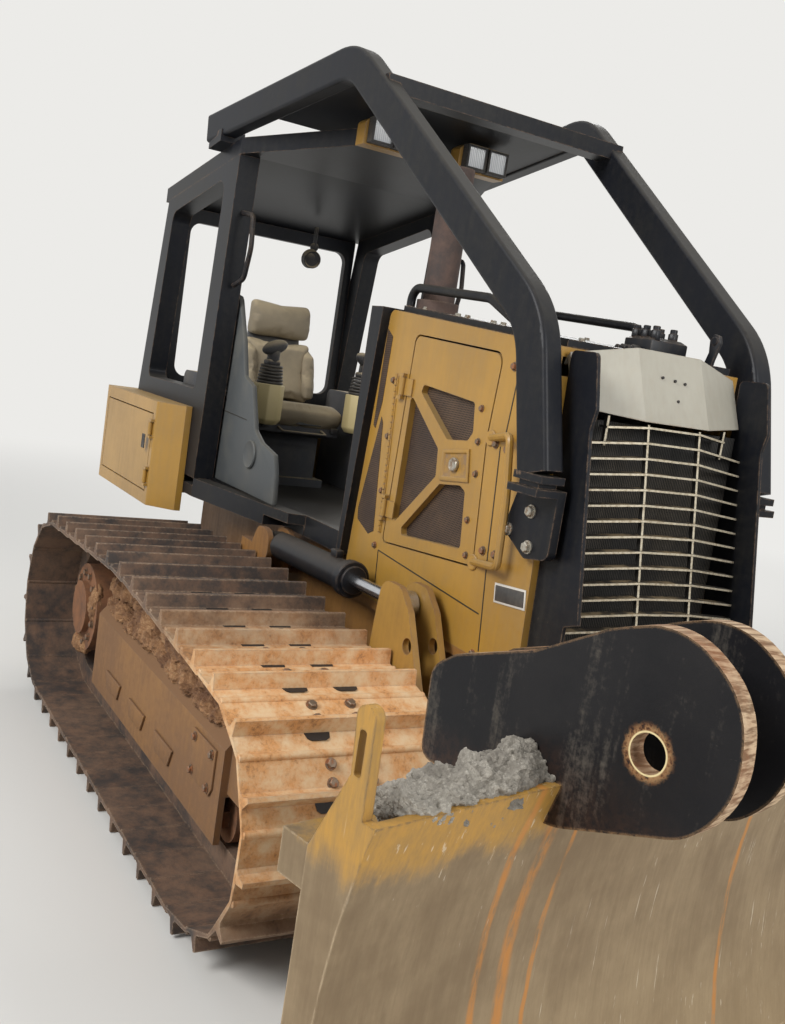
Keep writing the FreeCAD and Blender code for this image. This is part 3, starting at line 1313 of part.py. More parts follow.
def turned_point(x, y, z):
    """A point that turns with the blade, as it stands with the blade parked."""
    angle = math.radians(s.blade_angle.number)
    ahead = x - s.swing_x.number
    return Vector(s.swing_x.number + ahead * math.cos(angle) - y * math.sin(angle),
                  ahead * math.sin(angle) + y * math.cos(angle), z)


for side, hand in SIDES:
    y = side * (s.arm_inner.number + s.arm_outer.number) / 2
    place_cylinder(f"lift_{hand}", Vector(-s.mount_back.number, y, s.mount_z.number),
                   Vector(s.eye_x.number, y, s.eye_z.number), 24, 56, 700, 330, Vector(0, 1, 0), 28)
    start = Vector(s.angle_eye_x.number, side * s.angle_eye_y.number, s.angle_z.number)
    end = turned_point(s.swing_x.number + s.angle_reach.number, side * s.angle_arm.number, s.angle_z.number)
    place_cylinder(f"angle_{hand}", start, end, 16, 31, 440, (end - start).Length - 428, Vector(0, 0, 1), 20)
place_cylinder("tilt", turned_point(s.tilt_eye_x.number, -s.tilt_eye_y.number, s.tilt_eye_z.number),
               turned_point(s.tilt_eye_x.number, s.tilt_eye_y.number, s.tilt_eye_z.number),
               18, 38, 440, 220, turned_point(s.swing_x.number + 1, 0, 0) - turned_point(s.swing_x.number, 0, 0), 20)

doc.recompute()
os.makedirs("parts", exist_ok=True)
faults = []
for thing in doc.Objects:
    if "Invalid" in thing.State or "Error" in thing.State:
        faults.append(f"{thing.Name} {thing.State}")
for name, thing in nodes.items():
    if thing.Shape.isNull() or not thing.Shape.isValid() or not thing.Shape.Solids:
        faults.append(f"{name} has no valid shape")
if faults:
    raise RuntimeError("; ".join(faults))
for name, thing in nodes.items():
    thing.Shape.exportStep(f"parts/{name}.step")
print(len(nodes), "nodes")
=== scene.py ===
# %% [markdown]
# # A forestry bulldozer, dressed for its picture
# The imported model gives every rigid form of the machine, in metres, in one fixed frame. This lesson puts a
# camera, light and finishes round it, and then models the small things that make it look used: bolts,
# latches, hoses, cushions, mud and dirt.

# %% The frame
import json
import math

import bpy
from mathutils import Matrix, Vector


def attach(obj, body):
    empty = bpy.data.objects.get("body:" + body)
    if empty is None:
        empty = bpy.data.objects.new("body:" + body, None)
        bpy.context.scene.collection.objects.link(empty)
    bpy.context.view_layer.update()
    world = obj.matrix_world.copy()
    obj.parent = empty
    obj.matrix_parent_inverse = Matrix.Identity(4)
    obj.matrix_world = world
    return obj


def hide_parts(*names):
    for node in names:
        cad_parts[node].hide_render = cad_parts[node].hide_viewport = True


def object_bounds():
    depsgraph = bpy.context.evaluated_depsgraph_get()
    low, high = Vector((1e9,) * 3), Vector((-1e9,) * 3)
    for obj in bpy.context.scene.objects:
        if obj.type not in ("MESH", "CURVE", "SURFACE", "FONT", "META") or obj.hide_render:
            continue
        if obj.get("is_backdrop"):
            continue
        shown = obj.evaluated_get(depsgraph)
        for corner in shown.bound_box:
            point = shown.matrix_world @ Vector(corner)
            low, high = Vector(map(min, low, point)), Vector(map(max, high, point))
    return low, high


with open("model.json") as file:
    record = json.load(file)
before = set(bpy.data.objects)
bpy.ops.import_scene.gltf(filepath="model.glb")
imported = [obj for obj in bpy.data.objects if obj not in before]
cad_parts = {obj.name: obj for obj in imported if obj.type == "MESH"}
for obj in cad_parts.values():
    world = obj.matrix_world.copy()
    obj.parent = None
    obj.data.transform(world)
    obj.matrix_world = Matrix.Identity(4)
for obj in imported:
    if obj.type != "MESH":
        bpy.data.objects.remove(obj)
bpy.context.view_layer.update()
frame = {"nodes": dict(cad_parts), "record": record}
nodes = frame["nodes"]

# %% [markdown]
# ## Places
# The machine was drawn from the middle of its tracks, in millimetres, but its frame has its origin under
# the middle of the whole machine. One helper turns the drawing's numbers into the frame, and a second one
# does the same for pieces on the blade, which is parked at an angle.

# %% Helpers for places
MIDDLE = Vector((0.1715, 0.0675, 0))  # the frame's origin, from the middle of the tracks
SWING = Vector((1.650, 0, 0))  # the upright pin that the blade swings on
PARKED = math.radians(12)
SIDES = ((-1, "right"), (1, "left"))


def spot(x, y, z):
    """A place given in mm from the middle of the tracks."""
    return Vector((x, y, z)) / 1000 - MIDDLE


def blade_turn():
    """Turns and moves what is drawn square to the machine to where the parked blade is."""
    swing = SWING - MIDDLE
    return Matrix.Translation(swing) @ Matrix.Rotation(PARKED, 4, "Z") @ Matrix.Translation(-swing)


print("the blade's pin stands at", [round(v, 3) for v in SWING - MIDDLE])

# %% [markdown]
# ## Camera
# The photograph was taken from the right front corner at eye height, with a normal wide lens. The camera
# could be aimed by eye, but then no edge would quite match. So its place, turn and lens were fitted until the
# edges of tracks, canopy, grille and blade all fell on their places in the picture, and the result is set
# here as three directions and a place.

# %% Camera
right = Vector((0.48712, 0.86024, 0.15069))
up = Vector((-0.19257, -0.06249, 0.97929))
back = Vector((0.85184, -0.50605, 0.13522))
lens = bpy.data.cameras.new("photo_camera")
lens.sensor_width = 36
lens.lens = 36.91
lens.clip_end = 200
camera = bpy.data.objects.new("photo_camera", lens)
turn = Matrix((right, up, back)).transposed().to_4x4()
camera.matrix_world = Matrix.Translation((3.41749, -2.34456, 1.73175)) @ turn
bpy.context.scene.collection.objects.link(camera)
bpy.context.scene.camera = camera
bpy.context.scene.view_settings.view_transform = "Standard"
print("the camera stands", round(camera.matrix_world.translation.length, 2), "m from the frame's origin")

# %% [markdown]
# ## Shader sums
# A pattern is a sum of simple things: noise, height, how far a face looks up. Its nodes could be added one by
# one, but a long list of nodes hides the thought behind it. So one class wraps a socket, a plain Python sum
# on it adds the Math nodes, and one method adds every other kind of node.


# %% One socket in a sum
class Wire:
    """One socket of a finish, which can be used in sums."""

    def __init__(self, finish, socket):
        self.finish = finish
        self.socket = socket

    def math(self, operation, *terms):
        return self.finish.math(operation, *terms)

    def __add__(self, other):
        return self.math("ADD", self, other)

    def __sub__(self, other):
        return self.math("SUBTRACT", self, other)

    def __rsub__(self, other):
        return self.math("SUBTRACT", other, self)

    def __mul__(self, other):
        return self.math("MULTIPLY", self, other)

    def __truediv__(self, other):
        return self.math("DIVIDE", self, other)

    def most(self, other):
        return self.math("MAXIMUM", self, other)

    def least(self, other):
        return self.math("MINIMUM", self, other)

    __radd__ = __add__
    __rmul__ = __mul__


print("sums that a socket takes part in: + - * / most least")


# %% One finish
def tone(red, green, blue):
    """A colour as a screen shows it, 0 to 255, as the linear colour that a shader takes."""
    linear = [((v / 255 + 0.055) / 1.055) ** 2.4 for v in (red, green, blue)]
    return (*linear, 1)


class Finish:
    """One material with its main shader, and the patterns that feed it."""

    def __init__(self, name):
        self.material = bpy.data.materials.new(name)
        self.material.use_nodes = True
        self.tree = self.material.node_tree
        self.shader = self.tree.nodes["Principled BSDF"]
        place = self.node("ShaderNodeTexCoord", {}, output="Object")
        self.place = place
        self.x = self.node("ShaderNodeSeparateXYZ", {}, place, output="X")
        self.y = self.node("ShaderNodeSeparateXYZ", {}, place, output="Y")
        self.z = self.node("ShaderNodeSeparateXYZ", {}, place, output="Z")

    def node(self, kind, settings, *values, output=0, **named):
        """Adds a node: its settings first, then a value or a link for each of its sockets."""
        made = self.tree.nodes.new(kind)
        for key, value in settings.items():
            setattr(made, key, value)
        pairs = list(zip(made.inputs, values))
        pairs += [(made.inputs[key], value) for key, value in named.items()]
        for socket, value in pairs:
            if isinstance(value, Wire):
                self.tree.links.new(value.socket, socket)
            else:
                socket.default_value = value
        return Wire(self, made.outputs[output])

    def math(self, operation, *terms):
        """One sum of numbers, by its operation's name."""
        return self.node("ShaderNodeMath", {"operation": operation}, *terms)

    def noise(self, scale, detail=4, rough=0.6, stretch=(1, 1, 1)):
        """Cloudy noise from 0 to 1. Scale is in clouds a metre, and stretch squeezes it along an axis."""
        place = self.node("ShaderNodeVectorMath", {"operation": "MULTIPLY"}, self.place, stretch)
        return self.node("ShaderNodeTexNoise", {}, Vector=place, Scale=scale, Detail=detail, Roughness=rough)

    def cells(self, scale, feature="F1", stretch=(1, 1, 1)):
        """How far each point is from its cell's middle, or from its edge."""
        place = self.node("ShaderNodeVectorMath", {"operation": "MULTIPLY"}, self.place, stretch)
        return self.node("ShaderNodeTexVoronoi", {"feature": feature}, Vector=place, Scale=scale)

    def step(self, value, low, high):
        """0 below low, 1 above high, and a soft step between them."""
        settings = {"interpolation_type": "SMOOTHSTEP"}
        return self.node("ShaderNodeMapRange", settings, value, low, high, 0.0, 1.0)

    def mix(self, share, one, other):
        """The first colour where share is 0, the other where it is 1."""
        made = self.tree.nodes.new("ShaderNodeMix")
        made.data_type = "RGBA"
        for index, value in ((0, share), (6, one), (7, other)):
            if isinstance(value, Wire):
                self.tree.links.new(value.socket, made.inputs[index])
            else:
                made.inputs[index].default_value = value
        return Wire(self, made.outputs[2])

    def facing(self, axis="Z"):
        """How far a face looks along an axis of the machine, from -1 to 1."""
        normal = self.node("ShaderNodeNewGeometry", {}, output="Normal")
        return self.node("ShaderNodeSeparateXYZ", {}, normal, output=axis)

    def corners(self, radius, low=0.02, high=0.35):
        """1 along sharp edges, 0 on flat faces."""
        soft = self.node("ShaderNodeBevel", {"samples": 3}, radius)
        hard = self.node("ShaderNodeNewGeometry", {}, output="Normal")
        match = self.node("ShaderNodeVectorMath", {"operation": "DOT_PRODUCT"}, soft, hard, output="Value")
        return self.step(1 - match, low * 0.3, high * 0.3)

    def bump(self, height, distance=0.001, strength=1.0):
        """Raises the surface where height is large, by up to the distance in metres."""
        bump = self.node("ShaderNodeBump", {}, Height=height, Distance=distance, Strength=strength)
        self.feed(Normal=bump)

    def feed(self, **named):
        """Sets or links sockets of the main shader, named with _ for a space."""
        for key, value in named.items():
            socket = self.shader.inputs[key.replace("_", " ")]
            if isinstance(value, Wire):
                self.tree.links.new(value.socket, socket)
            else:
                socket.default_value = value


print("a shop yellow is", [round(v, 3) for v in tone(196, 148, 72)])

# %% [markdown]
# ## Paint
# Most of the machine is painted plate: yellow on the hood and tank, black on canopy, sweeps and guard.
# Paint is never one colour in use. Dust lies on what looks up and low down, clouds of it stay on the
# sides, fine scratches run through it, and edges are knocked down to primer and rusty steel. A painted
# picture would need an unwrapped mesh for every piece. Noise in the piece's own space needs none, wraps round
# every corner, and lets one recipe serve all the paints with other tones and amounts.


# %% Painted plate
def paint(name, colour, shade, dust, dustiness, wear, roughness, low_dirt=0.0, gloss=0.5):
    """Old gloss paint in two tones, with dust, scratches and chipped edges. Amounts run from 0 to 1."""
    finish = Finish(name)
    clouds = finish.noise(1.7, 5, 0.65)
    fine = finish.noise(38, 3, 0.7)
    streaks = finish.noise(9, 4, 0.6, (5, 5, 0.35))
    body = finish.mix(finish.step(clouds + 0.3 * streaks, 0.45, 0.85), colour, shade)
    upward = finish.step(finish.facing(), 0.25, 0.95)
    veil = finish.step(clouds * 0.6 + streaks * 0.35 + fine * 0.35, 0.52, 0.95) * 0.7
    low = finish.step(1.1 - finish.z, 0.0, 1.1) * low_dirt
    dusty = ((veil + upward * 1.1 + low * (0.4 + fine)) * dustiness).least(0.92)
    coat = finish.mix(dusty, body, dust)
    scratch = finish.step(finish.noise(26, 6, 0.75, (1, 1, 9)), 0.70, 0.76)
    chips = finish.step(finish.noise(55, 5, 0.7), 0.63, 0.68) * finish.step(clouds, 0.5, 0.7)
    edges = finish.corners(0.006) * finish.step(fine + 0.35 * clouds, 0.5, 0.8)
    worn = ((edges * 1.0 + chips * 0.5) * wear).least(1.0)
    bare = finish.mix(fine, tone(84, 58, 42), tone(140, 118, 96))
    coat = finish.mix(scratch * 0.25 * wear, coat, tone(150, 140, 124))
    finish.feed(Base_Color=finish.mix(worn, coat, bare))
    finish.feed(Roughness=(roughness + dusty * 0.45 + worn * 0.2).least(0.95))
    finish.bump(finish.noise(160, 2) * 0.3 - worn + dusty * fine * 0.8, 0.0006, 0.6)
    finish.feed(Specular_IOR_Level=gloss)
    return finish.material


GREY_DUST = tone(168, 158, 140)
EARTH = tone(114, 84, 58)
STEEL_DUST = tone(104, 98, 86)
yellow = paint("hood_yellow_paint", tone(164, 124, 52), tone(144, 108, 46), tone(152, 130, 92),
               dustiness=0.45, wear=0.8, roughness=0.34)
earthy = paint("undercarriage_yellow", tone(146, 102, 46), tone(118, 80, 38), EARTH,
               dustiness=0.8, wear=1.0, roughness=0.5, low_dirt=1.0)
arm_yellow = paint("arm_yellow_paint", tone(160, 122, 54), tone(136, 102, 46), EARTH,
                   dustiness=0.5, wear=1.0, roughness=0.45, low_dirt=0.8)
black = paint("canopy_black_paint", tone(20, 22, 28), tone(15, 17, 21), STEEL_DUST,
              dustiness=0.18, wear=0.75, roughness=0.40, gloss=0.2)
nose_black = paint("nose_dusty_paint", tone(160, 156, 143), tone(140, 136, 124), GREY_DUST,
                   dustiness=0.7, wear=0.8, roughness=0.45)
cylinder_black = paint("cylinder_black_paint", tone(22, 25, 31), tone(16, 18, 22), tone(112, 102, 90),
                       dustiness=0.20, wear=0.5, roughness=0.38, gloss=0.3)
engine_grey = paint("engine_grey_paint", tone(88, 88, 86), tone(70, 70, 70), tone(110, 104, 94),
                    dustiness=0.6, wear=0.4, roughness=0.6)
print("paints made:", 7)

# %% [markdown]
# ## Cut plate, and rubbed bars with a painted highlight
# Two painted pieces have a look of their own. The ears were cut from thick plate: their flat sides are black,
# with dust runs and scratches, but their rims still show the torch's ridges, pale and rusty, and the pin has
# worn the hole bright. The grille's bars are pale on their forward faces, partly rubbed bare steel and partly
# a painted highlight where light falls on them, and dark behind. Both could be split into several pieces with
# a plain finish each. It is simpler to ask, in one finish, which way a face looks and how far it is from the
# pin, because those two tell the flat side, the rim and the hole apart.


# %% Cut plate for the ears
PIN_AHEAD = 0.539  # from the pin that the blade swings on to the ears' hole
PIN_HIGH = 1.183  # from the ground up to the hole
HOLE = 0.036  # its radius


def cut_plate():
    """Black plate with pale, ridged cut rims and a bright pin hole."""
    finish = Finish("ear_cut_plate")
    clouds = finish.noise(2.6, 5, 0.65)
    drips = finish.noise(16, 5, 0.7, (1, 1, 0.10))
    fine = finish.noise(70, 4, 0.75)
    across = finish.facing("Y") * math.cos(PARKED) - finish.facing("X") * math.sin(PARKED)
    flat = finish.step(finish.math("ABSOLUTE", across), 0.55, 0.8)
    body = finish.mix(finish.step(clouds, 0.35, 0.7), tone(17, 17, 20), tone(28, 27, 28))
    dust = finish.step(drips * 0.7 + fine * 0.3 + clouds * 0.2, 0.62, 0.80)
    body = finish.mix(dust * 0.24, body, tone(140, 130, 116))
    nick = finish.step(finish.noise(30, 6, 0.8, (1, 1, 6)), 0.70, 0.75)
    body = finish.mix(nick * 0.45, body, tone(168, 154, 134))
    stain = finish.step(1.22 - finish.z + (clouds - 0.5) * 0.35, 0.1, 0.32) * finish.step(fine, 0.3, 0.6)
    body = finish.mix(stain * 0.35, body, tone(112, 74, 48))
    ridges = finish.noise(46, 3, 0.6, (2.2, 0.12, 2.2))
    rim = finish.mix(finish.step(ridges, 0.38, 0.62), tone(112, 90, 68), tone(186, 162, 132))
    rim = finish.mix(finish.step(clouds + fine * 0.3, 0.5, 0.8) * 0.6, rim, tone(128, 78, 46))
    edge = finish.corners(0.008) * finish.step(fine, 0.3, 0.55)
    body = finish.mix(edge * 0.8, body, tone(150, 118, 84))
    pin = SWING - MIDDLE
    ahead = (finish.x - pin.x) * math.cos(PARKED) + (finish.y - pin.y) * math.sin(PARKED) - PIN_AHEAD
    high = finish.z - PIN_HIGH
    away = finish.math("SQRT", ahead * ahead + high * high)
    ring = (1 - finish.step(away + (fine - 0.5) * 0.035, 0.043, 0.053)) * finish.step(fine, 0.32, 0.52) * 0.8
    rust = finish.mix(finish.step(fine, 0.4, 0.6), tone(112, 72, 44), tone(156, 120, 82))
    body = finish.mix(ring, body, rust)
    inside = 1 - finish.step(away, HOLE, HOLE + 0.002)
    body = finish.mix(inside, body, tone(206, 188, 142))
    finish.feed(Base_Color=finish.mix(flat, rim, body), Roughness=0.42 + (1 - flat) * 0.3 + dust * 0.25)
    finish.bump((1 - flat) * ridges * 2 + fine * 0.3 - nick * 0.3, 0.0015, 0.8)
    finish.feed(Specular_IOR_Level=0.2)
    return finish.material


ear_black = cut_plate()
print("the ears' hole is", HOLE * 2, "m wide")


# %% Rubbed bars with a painted highlight, for the grille
def rubbed_and_lit_bars():
    """Dark bars whose forward faces are pale: partly rubbed bare steel, partly a painted highlight where
    light falls.
    """
    finish = Finish("grille_rubbed_and_lit_bars")
    lit_forward = finish.step(finish.facing("X"), 0.45, 0.8)
    upward = finish.step(finish.facing("Z"), 0.5, 0.9)
    slant = finish.noise(7, 5, 0.7, (1, 1, 1))
    fine = finish.noise(90, 4, 0.7)
    top = finish.mix(finish.step(slant, 0.46, 0.60), tone(44, 39, 33), tone(134, 116, 88))
    base = finish.mix(upward, tone(36, 34, 31), top)
    # Painted highlight: forward faces take a pale steel tone, partly rubbed steel and partly light falling on
    # them.
    bare = finish.mix(finish.step(fine, 0.4, 0.7), tone(196, 186, 164), tone(150, 136, 112))
    finish.feed(Base_Color=finish.mix(lit_forward, base, bare), Roughness=0.6 - lit_forward * 0.2)
    finish.feed(Metallic=lit_forward * 0.35)
    finish.bump(fine + slant * 0.5, 0.0008, 0.6)
    return finish.material


grille_black = rubbed_and_lit_bars()
print("rubbed bars made")

# %% [markdown]
# ## Bare and rusty steel
# Tracks, wheels and the exhaust carry no paint. They show three layers: dark scale, orange rust in the
# hollows, and dried mud. Where things rub, the steel is polished. The layers are mixed from the bottom up,
# as they came to lie there. The front of the tracks is painted a lighter rust as painted sunlight, as the sun
# lights it in the picture.


# %% Rusty steel
def rusty(name, dark, rust, mud, rustiness, muddy, polish, front=0.0):
    """Steel with clouds of rust and dried mud, polished on its edges. The front may be painted lighter, as
    painted sunlight.
    """
    finish = Finish(name)
    broad = finish.noise(2.6, 6, 0.7)
    patches = finish.noise(14, 5, 0.7)
    fine = finish.noise(90, 3, 0.7)
    base = finish.mix(finish.step(patches * 0.6 + broad * 0.5, 0.44, 0.70), dark, rust)
    base = finish.mix(finish.step(fine, 0.35, 0.75) * 0.35, base, tone(70, 50, 40))
    cakes = finish.step(broad * 0.8 + patches * 0.45 + fine * 0.1, 0.62 - muddy * 0.2, 0.86)
    mud_share = (cakes * muddy).least(0.95)
    base = finish.mix(mud_share * rustiness, base, mud)
    # Painted sunlight: the front of the tracks, above the ground, turns to a lighter rust as far as front
    # asks.
    ahead = finish.step(finish.x + (broad - 0.5) * 0.5, 0.05, 0.75) * finish.step(finish.z, 0.10, 0.5) * front
    painted_sunlit_rust = finish.mix(finish.step(patches, 0.35, 0.7), tone(196, 140, 84), tone(206, 178, 140))
    base = finish.mix(ahead * finish.step(patches * 0.6 + fine * 0.5, 0.22, 0.55), base, painted_sunlit_rust)
    rub = (finish.corners(0.008) * finish.step(fine + patches * 0.5, 0.55, 0.95) * polish).least(1.0)
    finish.feed(Base_Color=finish.mix(rub, base, tone(168, 146, 122)))
    finish.feed(Roughness=0.78 + mud_share * 0.15 - rub * 0.35, Metallic=rub * 0.6)
    finish.bump(patches * 0.5 + fine * 0.35 + mud_share * 0.6, 0.0025, 0.8)
    return finish.material


# front=0.95 paints the front of the tracks lighter, as painted sunlight.
track_steel = rusty("track_rust", tone(52, 46, 43), tone(104, 71, 49), tone(122, 106, 90),
                    rustiness=0.8, muddy=0.5, polish=1.0, front=0.95)
wheel_steel = rusty("wheel_mud", tone(70, 48, 36), tone(122, 72, 42), tone(128, 88, 58),
                    rustiness=1.0, muddy=0.9, polish=0.4)
exhaust_steel = rusty("exhaust_rust", tone(54, 45, 42), tone(80, 58, 49), tone(96, 84, 76),
                      rustiness=0.7, muddy=0.4, polish=0.3)
print("steels made:", 3)

# %% [markdown]
# ## Blade
# The blade is scoured by soil to a brown grey, with fine scratches up and down. Paint stays along its top
# edge, and rust has run down from the dirt on the shelf. Such marks could be drawn on a picture of the blade.
# Here they are placed by height and by how far along the blade a point lies, so they stay where the soil
# works, and noise that is stretched upright makes both the scratches and the ragged edge of the paint.


# %% Blade steel
PAINT_LINE = 0.93
NO_PAINT = 2.0  # a line above the top of the blade
RUST_RUNS = ((-1.60, 0.014), (-1.52, 0.022), (-1.44, 0.010), (-0.72, 0.012), (0.25, 0.016), (0.95, 0.012))


def blade_finish(name, paint_line):
    """Scoured steel below the paint line, which is a height in metres, and worn paint above it."""
    finish = Finish(name)
    along = finish.x * math.sin(PARKED) * -1 + finish.y * math.cos(PARKED)
    clouds = finish.noise(3.2, 6, 0.65)
    scour = finish.noise(34, 7, 0.74, (1, 1, 0.05))
    fine = finish.noise(90, 5, 0.75, (1, 1, 0.16))
    patches = finish.step(scour * 0.35 + clouds * 0.75, 0.40, 0.72)
    steel = finish.mix(patches, tone(118, 99, 74), tone(146, 127, 99))
    steel = finish.mix(finish.step(fine, 0.45, 0.8) * 0.3, steel, tone(100, 84, 62))
    steel = finish.mix(finish.step(0.75 - finish.z, 0.0, 0.7) * 0.35, steel, tone(176, 152, 112))
    edge = finish.z + (clouds - 0.5) * 0.30 + (scour - 0.5) * 0.12
    left = finish.step(edge, paint_line, paint_line + 0.07)
    faded = finish.step(fine * 0.6 + clouds * 0.5, 0.42, 0.78)
    coat = finish.mix(faded, tone(170, 126, 48), tone(136, 106, 56))
    look = finish.mix(left * 0.95, steel, coat)
    wander = (finish.noise(4, 3, 0.6, (1, 1, 0.7)) - 0.5) * 0.05
    runs = None
    for middle, width in RUST_RUNS:
        gap = finish.math("ABSOLUTE", along - middle + wander)
        run = 1 - finish.step(gap + (fine - 0.5) * width * 1.2, width * 0.35, width)
        runs = run if runs is None else runs.most(run)
    runs = runs * finish.step(fine * 0.6 + clouds * 0.6, 0.46, 0.66)
    look = finish.mix(runs * 0.8, look, tone(184, 122, 54))
    tear = finish.step(finish.noise(95, 3, 0.6, (1, 1, 0.025)), 0.65, 0.69) * finish.step(clouds, 0.42, 0.6)
    look = finish.mix(tear * 0.55, look, tone(214, 204, 186))
    rub = finish.corners(0.006) * finish.step(fine, 0.35, 0.6)
    worn = finish.mix(left, tone(196, 176, 146), tone(82, 68, 52))
    finish.feed(Base_Color=finish.mix(rub * 0.8, look, worn))
    finish.feed(Roughness=0.58 + clouds * 0.2 - left * 0.1, Metallic=(1 - left) * 0.35)
    finish.bump(scour * 0.25 + fine * 0.4 + left * 0.4, 0.0008, 0.6)
    return finish.material


blade_steel = blade_finish("blade_scoured_steel", PAINT_LINE)
edge_steel = blade_finish("cutting_edge_steel", NO_PAINT)
print("rust runs down the blade:", len(RUST_RUNS))

# %% [markdown]
# ## Rods, rubber, vinyl and lenses
# The small finishes: hard chrome on the cylinder rods, grained vinyl on the seat, moulded plastic on the
# consoles, punched mesh on the engine doors, and clear lenses on the work lamps, with a painted reflection on
# their reflectors. The mesh has thousands of holes. Cutting them would make a mesh too heavy to handle, so
# the holes are a pattern of staggered rounds, painted near black as painted shade and deep in the bump. The
# vinyl's grain is the line between random cells.


# %% Chrome and grained plastic
def chrome():
    """Polished rod, a little streaked round its length."""
    finish = Finish("rod_chrome")
    streak = finish.noise(30, 4, 0.6, (1, 6, 1))
    finish.feed(Base_Color=finish.mix(streak, tone(206, 208, 212), tone(178, 180, 186)))
    finish.feed(Metallic=1.0, Roughness=0.16 + streak * 0.16)
    return finish.material


def grained(name, colour, shade, roughness, size):
    """Leather-like grain: cells with soft folds between them."""
    finish = Finish(name)
    grain = finish.cells(size, "DISTANCE_TO_EDGE")
    clouds = finish.noise(6, 4, 0.6)
    dust = finish.step(finish.facing() * 0.7 + clouds * 0.6, 0.25, 0.9) * 0.6
    body = finish.mix(clouds, colour, shade)
    finish.feed(Base_Color=finish.mix(dust, body, tone(196, 178, 144)))
    finish.feed(Roughness=roughness + dust * 0.4)
    finish.bump(finish.step(grain, 0.0, 0.25) + finish.noise(300, 2) * 0.4 + clouds * 3, 0.0007, 0.8)
    return finish.material


rod_chrome = chrome()
vinyl = grained("seat_vinyl", tone(116, 106, 88), tone(144, 130, 106), 0.52, 420)
cab_plastic = grained("cab_plastic", tone(64, 66, 70), tone(78, 78, 80), 0.6, 700)
grip_plastic = grained("grip_plastic", tone(44, 44, 46), tone(58, 56, 56), 0.5, 900)
print("chrome and grained finishes made:", 4)


# %% Punched mesh, radiator core and lens
ROW_SHARE = 0.866  # how far apart rows lie, as a share of the pitch, where rounds stand staggered


def punched(name, colour, hole, pitch):
    """Punched sheet: round holes in staggered rows over the door's outer face, the holes painted near black
    as painted shade.
    """
    finish = Finish(name)
    row = finish.z / (pitch * ROW_SHARE)
    whole = finish.math("FLOOR", row)
    odd = finish.math("MODULO", whole, 2.0)
    column = (finish.x + 10) / pitch + finish.math("ABSOLUTE", odd) * 0.5
    across = finish.math("FRACT", column) - 0.5
    high = (finish.math("FRACT", row) - 0.5) * ROW_SHARE
    away = finish.math("SQRT", across * across + high * high)
    solid = finish.step(away, 0.27, 0.36)
    clouds = finish.noise(5, 5, 0.6)
    plate = finish.mix(finish.step(clouds, 0.35, 0.7), colour, tone(92, 70, 50))
    # Painted shade: the holes take the near-black hole colour instead of the shade seen into them.
    finish.feed(Base_Color=finish.mix(solid, hole, plate), Roughness=0.8 - solid * 0.15)
    finish.bump(solid, 0.002, 0.8)
    return finish.material


def finned():
    """Radiator core: upright fins with dust on them, and painted shade in the near-black gaps between them.
    """
    finish = Finish("radiator_core")
    wave = finish.math("SINE", finish.y * 900)
    fins = finish.step(wave, -0.3, 0.6)
    clouds = finish.noise(4, 5, 0.6)
    dusty = finish.mix(finish.step(clouds, 0.4, 0.7), tone(58, 56, 53), tone(92, 84, 72))
    # Painted shade: the gaps between the fins are near black, and the fins are dusty grey.
    finish.feed(Base_Color=finish.mix(fins, tone(22, 22, 22), dusty), Roughness=0.75, Metallic=0.3)
    finish.bump(fins, 0.002, 0.8)
    return finish.material


def lens_glass():
    """A clear lamp lens over a ribbed reflector, which is painted near white as a painted reflection."""
    finish = Finish("lamp_lens")
    ribs = finish.math("SINE", finish.y * 700)
    clouds = finish.noise(12, 3, 0.6)
    # Painted reflection: the ribbed reflector behind the lens is painted near white in place of its shine.
    glow = finish.mix(finish.step(ribs, -0.5, 0.8), tone(206, 210, 214), tone(238, 240, 242))
    finish.feed(Base_Color=finish.mix(clouds * 0.4, glow, tone(150, 148, 142)), Roughness=0.14)
    finish.shader.inputs["Coat Weight"].default_value = 0.8
    finish.bump(ribs, 0.001, 0.5)
    return finish.material


mesh = punched("punched_mesh", tone(66, 48, 36), tone(10, 8, 6), 0.0085)
core = finned()
lens_clear = lens_glass()
print("mesh, core and lens made:", 3)

# %% [markdown]
# ## Finishes on the CAD's own pieces
# The record names a material slot for every node. Each slot takes one of the finishes above, so the
# rigid forms keep their meshes and only change their look. Two nodes differ from their slot's other nodes in
# the picture: the nose is pale with dust, and the blade's arms are cleaner than the track frames.

# %% Dress the nodes
SLOTS = {
    "yellow_paint": yellow, "yellow_dusty": earthy, "black_paint": black, "track_steel": track_steel,
    "wheel_steel": wheel_steel, "blade_steel": blade_steel, "edge_steel": edge_steel, "ear_steel": ear_black,
    "cylinder_black": cylinder_black, "rod_chrome": rod_chrome, "grille_steel": grille_black,
    "core_grey": core, "mesh_dark": mesh, "engine_grey": engine_grey, "seat_vinyl": vinyl,
    "cab_plastic": cab_plastic, "lever_plastic": grip_plastic, "lamp_lens": lens_clear,
    "exhaust_steel": exhaust_steel,
}


def wear_finish(piece, material):
    piece.data.materials.clear()
    piece.data.materials.append(material)


for part in frame["record"]["subparts"]:
    wear_finish(nodes[part["node"]], SLOTS[part["material_slot"]])
wear_finish(nodes["nose_cap"], nose_black)
wear_finish(nodes["push_frame"], arm_yellow)

# %% [markdown]
# ## Finishes for the small pieces
# Bolts, seams, dirt and cab fittings need a few finishes of their own: dry mud and pale soil with a crumbly
# surface, zinc on the bolts, moulded plastic in two tones, painted shadow for seams, painted shade for holes,
# and plain dark paint for plates. They come in three kinds, so three short recipes make them all, each with
# its own tones.


